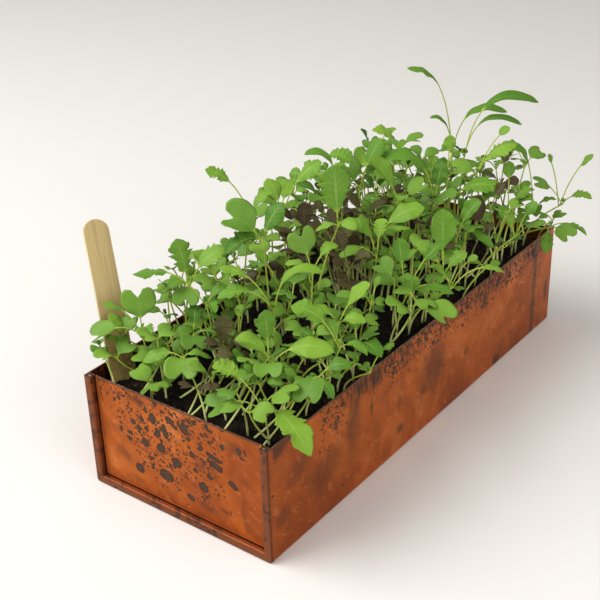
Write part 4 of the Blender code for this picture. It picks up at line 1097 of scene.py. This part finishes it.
def companion_at(plant, number, attempt):
    """A lesser seedling beside a planned one, with one pair of leaves, and its leaves' rolls."""
    rng = np.random.default_rng([COMPANION_SEED, number, attempt])
    far = plant.y / PLANNED_TRAY_LENGTH + 0.5
    heights = np.array([COMPANION_HEIGHTS_FRONT, COMPANION_HEIGHTS_REAR])
    low, high = heights[0] + (heights[1] - heights[0]) * far
    facing = rng.uniform(0, 360)
    leaves = []
    for side in (0, 180):
        heading = facing + side + rng.uniform(-COMPANION_SPREAD, COMPANION_SPREAD)
        reach = rng.uniform(*COMPANION_LEAF_REACH)
        climb = rng.uniform(*COMPANION_LEAF_CLIMB)
        leaves.append(Leaf("seed", heading, reach, climb, COMPANION_BLADE))
    heading = rng.uniform(0, 360)
    reach = rng.uniform(*COMPANION_REACH)
    height = rng.uniform(low, high)
    rolls = rng.uniform(-LARGEST_ROLL, LARGEST_ROLL, len(leaves))
    stem = {"heading": heading, "reach": reach, "height": height, "lean": COMPANION_LEAN}
    return plant._replace(leaves=leaves, **stem), rolls


def lowest(points):
    """The middle of the box round the points that lie lowest."""
    low = points[points[:, 2] < points[:, 2].min() + 0.01 * MM]
    return (low.min(0) + low.max(0)) / 2


def misfit(plant, foot, rolls, corners):
    """How far, by the median, this plant's leaf tips lie from the nearest corners of its node."""
    tips = np.concatenate([points[-4:] for points, _ in coarse_sweeps(plant, foot, rolls)[1:]])
    return np.median(np.linalg.norm(corners[None] - tips[:, None], axis=2).min(axis=1))


def matching_plants(number, node):
    """The attempts at this planned seedling, and at its companion, that its CAD node holds."""
    corners = np.array([vertex.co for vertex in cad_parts[node].data.vertices])
    grown = []
    for attempt in range(PLANT_TRIES):
        plant, rolls = attempt_at(PLANTING_PLAN[number - 1], number, attempt)
        stem = coarse_sweeps(plant, np.zeros(3), [])[0][0]
        foot = lowest(corners) - lowest(stem)
        if misfit(plant, foot, rolls, corners) < TIP_MATCH:
            grown.append((plant, foot, rolls))
            break
    start = stem_path(plant, foot, np.array([COMPANION_START]))[0]
    for attempt in range(COMPANION_TRIES):
        companion, rolls = companion_at(plant, number, attempt)
        if misfit(companion, start, rolls, corners) < TIP_MATCH:
            grown.append((companion, start, rolls))
            break
    return grown


def soil_height(x, y):
    """Height of the fine soil: its crown, and clods, lumps and crumbs as finer and finer noise."""
    crown = np.cos(x / SOIL_HIGH.x * math.pi / 2) - 0.5
    z = SOIL_LEVEL + SOIL_CROWN * crown
    for seed, (lift, cell) in enumerate(SOIL_GRAINS, 1):
        z = z + lift * MM * smooth_noise(x, y, cell * MM, seed)
    return z


def on_soil(x, y):
    """A point of the soil, with noise of its own, since the noise starts where it is asked for."""
    return np.array([x, y, float(soil_height(np.array([x]), np.array([y]))[0])])


def make_compost(material):
    """A closed block: the fine soil surface on top, straight walls and a flat underside."""
    columns, rows = SOIL_GRID
    across = np.linspace(SOIL_LOW.x, SOIL_HIGH.x, columns)
    along = np.linspace(SOIL_LOW.y, SOIL_HIGH.y, rows)
    x, y = np.meshgrid(across, along)
    points = np.stack([x, y, soil_height(x, y)], 2).reshape(-1, 3)
    index = np.arange(rows * columns).reshape(rows, columns)
    sides = (index[0], index[1:, -1], index[-1, -2::-1], index[-2:0:-1, 0])
    edge = np.concatenate(sides)
    wall = points[edge].copy()
    wall[:, 2] = SOIL_LOW.z + SOIL_BEVEL
    foot = points[edge].copy()
    foot[:, :2] *= 1 - SOIL_BEVEL / np.abs(foot[:, :2]).max(axis=0)
    foot[:, 2] = SOIL_LOW.z
    count, base = len(edge), len(points)
    rings = [edge, base + np.arange(count), base + count + np.arange(count)]
    faces = grid_faces(rows, columns).tolist()
    for upper, lower in zip(rings, rings[1:]):
        faces += np.stack([np.roll(upper, -1), upper, lower, np.roll(lower, -1)], 1).tolist()
    faces.append(rings[2].tolist()[::-1])
    return new_piece("compost_surface", np.concatenate([points, wall, foot]), faces, material)


def make_crumbs(material, count, seed):
    """Small lumps on the soil: each a six-sided bead, stretched, squashed and turned by chance."""
    rng = np.random.default_rng(seed)
    crop = Crop()
    for _ in range(count):
        x = rng.uniform(SOIL_LOW.x + 2 * MM, SOIL_HIGH.x - 2 * MM)
        y = rng.uniform(SOIL_LOW.y + 2 * MM, SOIL_HIGH.y - 2 * MM)
        size = rng.uniform(0.4, 1.2) * MM * (1.7 if rng.uniform() > 0.92 else 1.0)
        stretch = rng.uniform(0.8, 2.6)
        heading = rng.uniform(0, 2 * math.pi)
        tilt = rng.uniform(-0.5, 0.5)
        half = size * stretch / 2
        at = np.array([0.0, 0.25, 0.55, 0.85, 1.0]) * 2 * half
        ahead = np.array([math.cos(heading), math.sin(heading), 0])
        start = on_soil(x, y) + (0, 0, 0.1 * MM) - half * ahead
        radius = np.array([0.2, 0.85, 1.0, 0.7, 0.15]) * size / 2 * rng.uniform(0.8, 1.2, 5)
        along = ahead * math.cos(tilt) + (0, 0, math.sin(tilt))
        points, faces = sweep(start + np.outer(at, along), heading, 0.3, 6, radius, radius * 0.8)
        growth = np.zeros((len(points), 3))
        growth[:, 0] = rng.uniform(0, 1)
        crop.add(points, faces, growth)
    return crop.piece("compost_crumbs", material)


def label_frame():
    """The label's middle, its own directions (across, through, up) and its half sizes there."""
    points = np.array([vertex.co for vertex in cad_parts["plant_label"].data.vertices])
    _, _, ways = np.linalg.svd(points - points.mean(0), full_matrices=False)
    up, across = ways[0] * np.sign(ways[0][2]), ways[1] * np.sign(ways[1][0])
    axes = (across, np.cross(up, across), up)
    spans = [np.ptp(points @ way) / 2 for way in axes]
    middle = sum(way * ((points @ way).min() + span) for way, span in zip(axes, spans))
    return middle, axes, spans


def make_label(material, soil):
    """A stick with half-round ends and eased edges: outlines stacked through its thickness.

    Each outline is the stick's line of centres plus a radius less the edge's inset there.
    """
    middle, axes, (half_width, half_depth, half_length) = label_frame()
    level = (soil - middle[2]) / axes[2][2]
    turn = np.linspace(0, math.pi, 24)
    straight = half_length - half_width
    rings = []
    for inset, share in [(inset, -share) for inset, share in LABEL_EDGE] + LABEL_EDGE[::-1]:
        radius = half_width - inset * MM
        x, z = radius * np.cos(turn), straight + radius * np.sin(turn)
        depth = np.full(2 * len(turn), share * half_depth)
        rings.append(np.column_stack([np.concatenate([x, -x]), depth, np.concatenate([z, -z])]))
    own = np.concatenate(rings)
    points = middle + own @ np.array(axes)
    faces = [face[::-1] for face in tube_faces(len(rings), len(rings[0]))]
    growth = np.stack([own[:, 2] - level, own[:, 0], own[:, 1]], 1)
    piece = new_piece("birch_label", points, faces, material, {"growth": growth})
    piece.data.set_sharp_from_angle(angle=50 * DEG)
    return piece


class SeedTrayLooks(bpy.types.PropertyGroup):
    """Colours and sizes of the seed tray's finishes."""

    def colour(name, description, default):
        return bpy.props.FloatVectorProperty(
            name=name, description=description, default=default, subtype="COLOR", min=0.0, max=1.0
        )

    def count(name, description, default, most):
        return bpy.props.IntProperty(
            name=name, description=description, default=default, min=0, max=most
        )

    copper_colour: colour("Copper", "Clean copper", (0.54, 0.133, 0.017))
    copper_shade: colour("Copper shade", "Browner copper", (0.35, 0.078, 0.014))
    copper_smoke: colour("Copper smoke", "Smoky brown clouds", (0.16, 0.040, 0.011))
    # Fresh scratches, and the painted highlights on the copper and on the end panel beside the
    # beads
    copper_bright: colour("Copper scratch and highlight", "Fresh scratches and painted highlights", (0.76, 0.26, 0.085))
    smudge_colour: colour("Smudges", "Brown smudges", (0.085, 0.029, 0.010))
    blotch_colour: colour("Blotches", "Dark edges of the blotches", (0.040, 0.018, 0.010))
    blotch_middle: colour("Blotch middles", "Greyer middles", (0.078, 0.044, 0.026))
    rim_colour: colour("Rim", "Dark brown rim", (0.10, 0.045, 0.025))
    # Painted highlight on the rim's top edge
    rim_worn: colour("Rim highlight", "Painted highlight on the rim's top edge", (0.33, 0.17, 0.11))
    bead_colour: colour("Beads", "Brown folded beads", (0.20, 0.060, 0.020))
    # Dark chips and joints of the beads, and the painted shade line on the end panel beside them
    bead_chip: colour("Bead chips and shade", "Dark chips and joints of the beads, and painted shade beside them", (0.055, 0.026, 0.016))
    wire_colour: colour("Wire", "Tinned stiffening wire", (0.72, 0.70, 0.66))
    wire_dull: colour("Dull wire", "Where the tin has dulled", (0.3, 0.27, 0.23))
    compost_colour: colour("Compost", "Near-black compost", (0.004, 0.003, 0.0025))
    compost_brown: colour("Compost brown", "Brown crumbs", (0.042, 0.025, 0.013))
    fleck_colour: colour("Flecks", "Pale flecks in the compost", (0.22, 0.15, 0.08))
    wood_colour: colour("Label wood", "Pale birch", (0.50, 0.375, 0.165))
    # Painted highlight along the label's edges
    wood_edge: colour("Label's edge highlight", "Painted highlight along the label's edges", (0.74, 0.62, 0.38))
    wood_grain: colour("Label grain", "Darker grain", (0.36, 0.25, 0.095))
    wood_damp: colour("Label damp", "Damp lower part", (0.26, 0.17, 0.028))
    wood_soiled: colour("Label soil", "Soil on the label's foot", (0.085, 0.05, 0.02))
    fresh_green: colour("Fresh green", "Lightest leaves", (0.188, 0.338, 0.028))
    mid_green: colour("Mid green", "Usual leaves", (0.098, 0.232, 0.018))
    deep_green: colour("Deep green", "Darkest leaves", (0.050, 0.145, 0.008))
    cool_green: colour("Cool green", "Greyer green of the seed leaves", (0.145, 0.275, 0.038))
    vein_green: colour("Veins", "Pale veins", (0.32, 0.46, 0.10))
    stalk_green: colour("Stalks", "Leaf stalks", (0.36, 0.46, 0.06))
    root_white: colour("Stem foot", "Foot of the stems", (0.80, 0.86, 0.34))
    purple_leaf: colour("Purple leaf", "Purple-brown leaves", (0.052, 0.033, 0.013))
    purple_green: colour("Purple leaf, green part", "Greener parts", (0.084, 0.076, 0.022))
    purple_vein: colour("Purple leaf, veins", "Veins of the purple leaves", (0.13, 0.115, 0.045))
    purple_stalk: colour("Purple leaf, stalk", "Their stalks", (0.22, 0.24, 0.06))
    blotch_slant: bpy.props.FloatProperty(
        name="Blotch slant",
        description="Slope of the blotches and scratches, down to the right",
        default=38 * DEG,
        subtype="ANGLE",
    )
    filler_count: count("Fillers", "Small seedlings between the main ones", 220, 400)
    leaning_count: count("Leaning", "Fillers that slant back from the front end", 30, 60)
    crumb_count: count("Crumbs", "Lumps lying on the compost", 2600, 4000)
    light_power: bpy.props.FloatProperty(
        name="Light power", description="Power of the main soft light", default=44.0, unit="POWER"
    )


def looks():
    """The settings that the panel shows."""
    return bpy.context.scene.seed_tray


def leaf_materials():
    """The leaves' three finishes, by the name of their slot."""
    tones = looks()
    plain = (tones.cool_green, tones.vein_green, tones.stalk_green, tones.root_white)
    dark = (tones.purple_leaf, tones.purple_vein, tones.purple_stalk, tones.root_white)
    rows = (
        (FRESH, tones.fresh_green, tones.mid_green, *plain, 0.45),
        (DEEP, tones.mid_green, tones.deep_green, *plain, 0.5),
        (PURPLE, tones.purple_green, tones.purple_leaf, *dark, 0.5),
    )
    return {slot: leaf_finish(f"{slot}_fine", *values) for slot, *values in rows}


def dress(names, material):
    """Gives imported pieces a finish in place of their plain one."""
    for name in names:
        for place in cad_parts[name].material_slots:
            place.material = material


class SEEDTRAY_OT_copper(bpy.types.Operator):
    """Give the folded copper pieces their aged finish"""

    bl_idname = "seed_tray.copper"
    bl_label = "Copper tray"

    def execute(self, context):
        dress(("trough", "end_panel_front", "end_panel_rear"), copper_finish(looks()))
        return {"FINISHED"}


class SEEDTRAY_OT_wires(bpy.types.Operator):
    """Give the beads' stiffening wires their tinned finish"""

    bl_idname = "seed_tray.wires"
    bl_label = "Bead wires"

    def execute(self, context):
        dress(("bead_wire_front", "bead_wire_rear"), wire_finish(looks()))
        return {"FINISHED"}


class SEEDTRAY_OT_compost(bpy.types.Operator):
    """Make the crumbly compost surface and the lumps on it"""

    bl_idname = "seed_tray.compost"
    bl_label = "Compost"

    def execute(self, context):
        surface = make_compost(compost_finish(looks()))
        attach(surface, "tray")
        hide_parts("compost")
        crumbs = make_crumbs(crumb_finish(looks()), looks().crumb_count, CRUMB_SEED)
        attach(crumbs, "tray")
        return {"FINISHED"}


class SEEDTRAY_OT_label(bpy.types.Operator):
    """Make the wooden plant label, left bare"""

    bl_idname = "seed_tray.label"
    bl_label = "Plant label"

    def execute(self, context):
        label = make_label(wood_finish(looks()), SOIL_LEVEL)
        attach(label, "label")
        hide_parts("plant_label")
        return {"FINISHED"}


class SEEDTRAY_OT_seedlings(bpy.types.Operator):
    """Make a fine leafy seedling in the place of each plain one"""

    bl_idname = "seed_tray.seedlings"
    bl_label = "Seedlings"

    def execute(self, context):
        materials = leaf_materials()
        names = sorted(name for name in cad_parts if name.startswith("seedling_"))
        counts = []
        for name in names:
            number = int(name.split("_")[1])
            finish = PLANTING_PLAN[number - 1].finish
            rng = np.random.default_rng([PLANT_SEED, FINE_SEED, number])
            crop = Crop()
            grown = matching_plants(number, name)
            for (plant, foot, rolls), buried in zip(grown, (BURIED, 0.0)):
                add_plant(crop, plant, foot, rolls, rng, LEAF_SIDES, buried)
            counts.append(len(grown))
            piece = crop.piece(f"leafy_{name}", materials[finish])
            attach(piece, "tray")
            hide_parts(name)
        print(f"seedlings: {len(names)}, plants matched: {sum(counts)}, fewest {min(counts)}")
        return {"FINISHED"}


class SEEDTRAY_OT_fillers(bpy.types.Operator):
    """Make the small seedlings that crowd between the main ones"""

    bl_idname = "seed_tray.fillers"
    bl_label = "Filler seedlings"

    def execute(self, context):
        slots = (FRESH, DEEP, PURPLE)
        crops = {(end, slot): Crop() for end in ("front", "rear") for slot in slots}
        taken = seedling_trees()
        planned = len(taken)
        rng = np.random.default_rng(FILLER_SEED)
        for number in range(looks().filler_count):
            for _ in range(FILLER_TRIES):
                plant, foot = filler_plant(rng, number < looks().leaning_count)
                rolls = rng.uniform(-LARGEST_ROLL, LARGEST_ROLL, len(plant.leaves))
                sweeps = coarse_sweeps(plant, foot, rolls)
                points = np.concatenate([points for points, _ in sweeps])
                tree = tree_of(sweeps)
                if in_filler_space(points) and not any(tree.overlap(other) for other in taken):
                    taken.append(tree)
                    end = "front" if foot[1] < 0 else "rear"
                    add_plant(crops[end, plant.finish], plant, foot, rolls, rng, FILLER_SIDES)
                    break
        print(f"fillers placed: {len(taken) - planned} of {looks().filler_count}")
        for (end, slot), crop in crops.items():
            if crop.count:
                piece = crop.piece(f"filler_{end}_{slot}", bpy.data.materials[f"{slot}_fine"])
                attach(piece, "tray")
        return {"FINISHED"}


def tree_of(sweeps):
    """The space that a seedling's plain sweeps fill."""
    points, faces, base = [], [], 0
    for part_points, part_faces in sweeps:
        faces += [tuple(base + k for k in face) for face in part_faces]
        points.append(part_points)
        base += len(part_points)
    return BVHTree.FromPolygons(np.concatenate(points).tolist(), faces)


def seedling_trees():
    """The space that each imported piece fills, for keeping new seedlings clear."""
    trees = []
    for name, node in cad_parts.items():
        if name != "compost":
            points = [tuple(vertex.co) for vertex in node.data.vertices]
            faces = [tuple(face.vertices) for face in node.data.polygons]
            trees.append(BVHTree.FromPolygons(points, faces))
    return trees


def in_filler_space(points):
    """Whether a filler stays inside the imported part's box and near the tray."""
    low, high = points.min(0), points.max(0)
    inside = all(low > np.array(CAD_BOX[0])) and all(high < np.array(CAD_BOX[1]))
    return inside and max(-low[0], high[0]) < HALF_WIDTH + FILLER_OVERHANG


def filler_plant(rng, leaning):
    """A seedling between the planned ones, taller towards the rear, leaning out near the walls.

    A leaning one stands near the front end and slants back into the crowd.
    """
    x = rng.uniform(SOIL_LOW.x + FILLER_SIDE_GAP, SOIL_HIGH.x - FILLER_SIDE_GAP)
    y = rng.uniform(SOIL_LOW.y + FILLER_END_GAP, SOIL_HIGH.y - FILLER_END_GAP)
    if leaning:
        x = rng.uniform(*LEANING_ACROSS) * SOIL_HIGH.x
        y = SOIL_LOW.y + rng.uniform(*LEANING_FROM_END) * MM
    far = (y + HALF_LENGTH) / (2 * HALF_LENGTH)
    height = (CANOPY_FRONT + CANOPY_RISE * far**0.7) * rng.uniform(0.4, 1.0)
    aside = (x - PURPLE_MIDDLE[0]) / PURPLE_SIZE[0]
    ahead = (y - PURPLE_MIDDLE[1]) / PURPLE_SIZE[1]
    purple = 0.85 * math.exp(-(aside**2) - ahead**2) + 0.07
    if rng.uniform() < purple:
        finish = PURPLE
    else:
        finish = FRESH if rng.uniform() < FRESH_SHARE else DEEP
    edge = abs(x) / HALF_WIDTH
    if rng.uniform() < edge:
        heading = (0 if x > 0 else 180) + rng.uniform(-60, 60)
    else:
        heading = rng.uniform(0, 360)
    reach = rng.uniform(2, 8 + 14 * edge) + rng.uniform(0, 14) * (1 - far)
    facing = rng.uniform(0, 360)
    size = rng.uniform(0.6, 1.05)
    leaves = []
    for turn in (0, 180):
        spread = rng.uniform(11, 19) * size
        way = facing + turn + rng.uniform(-25, 25)
        leaves.append(notched(way, spread, rng.uniform(-2, 10), 12 * size))
    form = str(rng.choice(["toothed", "toothed", "oval"]))
    for turn in (90, 240)[: int(rng.integers(0, 3))]:
        way = facing + turn + rng.uniform(-25, 25)
        leaves.append(Leaf(form, way, rng.uniform(8, 22), rng.uniform(8, 24), 16 * size))
    lean = 0.0
    if leaning:
        heading, reach, height = rng.uniform(50, 125), rng.uniform(16, 38), rng.uniform(13, 28)
        lean = COMPANION_LEAN
    return Plant(finish, x, y, heading, reach, height, leaves, lean), on_soil(x, y)


class SEEDTRAY_OT_stage(bpy.types.Operator):
    """Set the pale floor, the soft lights and the camera"""

    bl_idname = "seed_tray.stage"
    bl_label = "Stage"

    def execute(self, context):
        make_floor()
        make_world(context.scene)
        for name, (place, size, share) in LIGHTS.items():
            add_light(name, place, size, looks().light_power * share)
        make_camera(context.scene)
        context.scene.view_settings.view_transform = "Standard"
        return {"FINISHED"}


def make_floor():
    """A pale sweep: flat floor that curves up into a backdrop well behind the tray."""
    kit = FinishKit("pale_floor", FLOOR_COLOUR, Specular_IOR_Level=0.2)
    turn = np.linspace(0, math.pi / 2, 16)
    radius, back, front, half_width, top = 1.2, 1.6, -4.0, 5.0, 4.0
    depth = np.concatenate([[front], back + radius * np.sin(turn), [back + radius]])
    height = np.concatenate([[0.0], radius - radius * np.cos(turn), [top]])
    x = np.tile([-half_width, half_width], len(depth))
    points = np.stack([x, np.repeat(depth, 2), np.repeat(height, 2)], 1)
    points = points @ np.array(Matrix.Rotation(CAMERA_AZIMUTH, 3, "Z")).T
    floor = new_piece("floor", points, grid_faces(len(depth), 2).tolist(), kit.finish(0.8))
    floor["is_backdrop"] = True


def make_camera(scene):
    """The camera at the photograph's place and angle."""
    camera_data = bpy.data.cameras.new("camera")
    camera_data.lens = CAMERA_LENS
    camera_data.sensor_width = CAMERA_SENSOR
    camera = bpy.data.objects.new("camera", camera_data)
    turns = ((CAMERA_AZIMUTH, "Z"), (90 * DEG - CAMERA_PITCH, "X"), (-CAMERA_ROLL, "Z"))
    camera.matrix_world = Matrix.Translation(CAMERA_PLACE)
    for turn, axis in turns:
        camera.matrix_world @= Matrix.Rotation(turn, 4, axis)
    scene.collection.objects.link(camera)
    scene.camera = camera


def make_world(scene):
    """Soft light from all round, as in a pale room."""
    world = bpy.data.worlds.new("soft_room")
    scene.world = world
    world.use_nodes = True
    background = world.node_tree.nodes["Background"]
    background.inputs["Color"].default_value = (*ROOM_COLOUR, 1.0)
    background.inputs["Strength"].default_value = ROOM_STRENGTH


def add_light(name, place, size, power):
    """A square soft light that faces the tray."""
    data = bpy.data.lights.new(name, "AREA")
    data.shape = "SQUARE"
    data.size = size
    data.energy = power
    light = bpy.data.objects.new(name, data)
    light.location = place
    aim = Vector(LIGHT_AIM) - Vector(place)
    light.rotation_euler = aim.to_track_quat("-Z", "Y").to_euler()
    bpy.context.scene.collection.objects.link(light)


class SEEDTRAY_PT_panel(bpy.types.Panel):
    """Lists the seed tray's operators and its colours"""

    bl_idname = "SEEDTRAY_PT_panel"
    bl_label = "Seed tray"
    bl_space_type = "VIEW_3D"
    bl_region_type = "UI"
    bl_category = "Seed tray"

    def draw(self, context):
        for operator in OPERATORS:
            self.layout.operator(operator.bl_idname)
        for key in SeedTrayLooks.__annotations__:
            self.layout.prop(context.scene.seed_tray, key)


OPERATORS = (
    SEEDTRAY_OT_copper,
    SEEDTRAY_OT_wires,
    SEEDTRAY_OT_compost,
    SEEDTRAY_OT_label,
    SEEDTRAY_OT_seedlings,
    SEEDTRAY_OT_fillers,
    SEEDTRAY_OT_stage,
)
CLASSES = (SeedTrayLooks, *OPERATORS, SEEDTRAY_PT_panel)


def register():
    for each in CLASSES:
        bpy.utils.register_class(each)
    bpy.types.Scene.seed_tray = bpy.props.PointerProperty(type=SeedTrayLooks)


def unregister():
    del bpy.types.Scene.seed_tray
    for each in reversed(CLASSES):
        bpy.utils.unregister_class(each)


def main():
    register()
    for operator in OPERATORS:
        group, name = operator.bl_idname.split(".")
        getattr(getattr(bpy.ops, group), name)()
    boxes = {"cad": CAD_BOX, "visual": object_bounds()}
    {key: [list(corner) for corner in box] for key, box in boxes.items()}


if __name__ == "__main__":
    main()
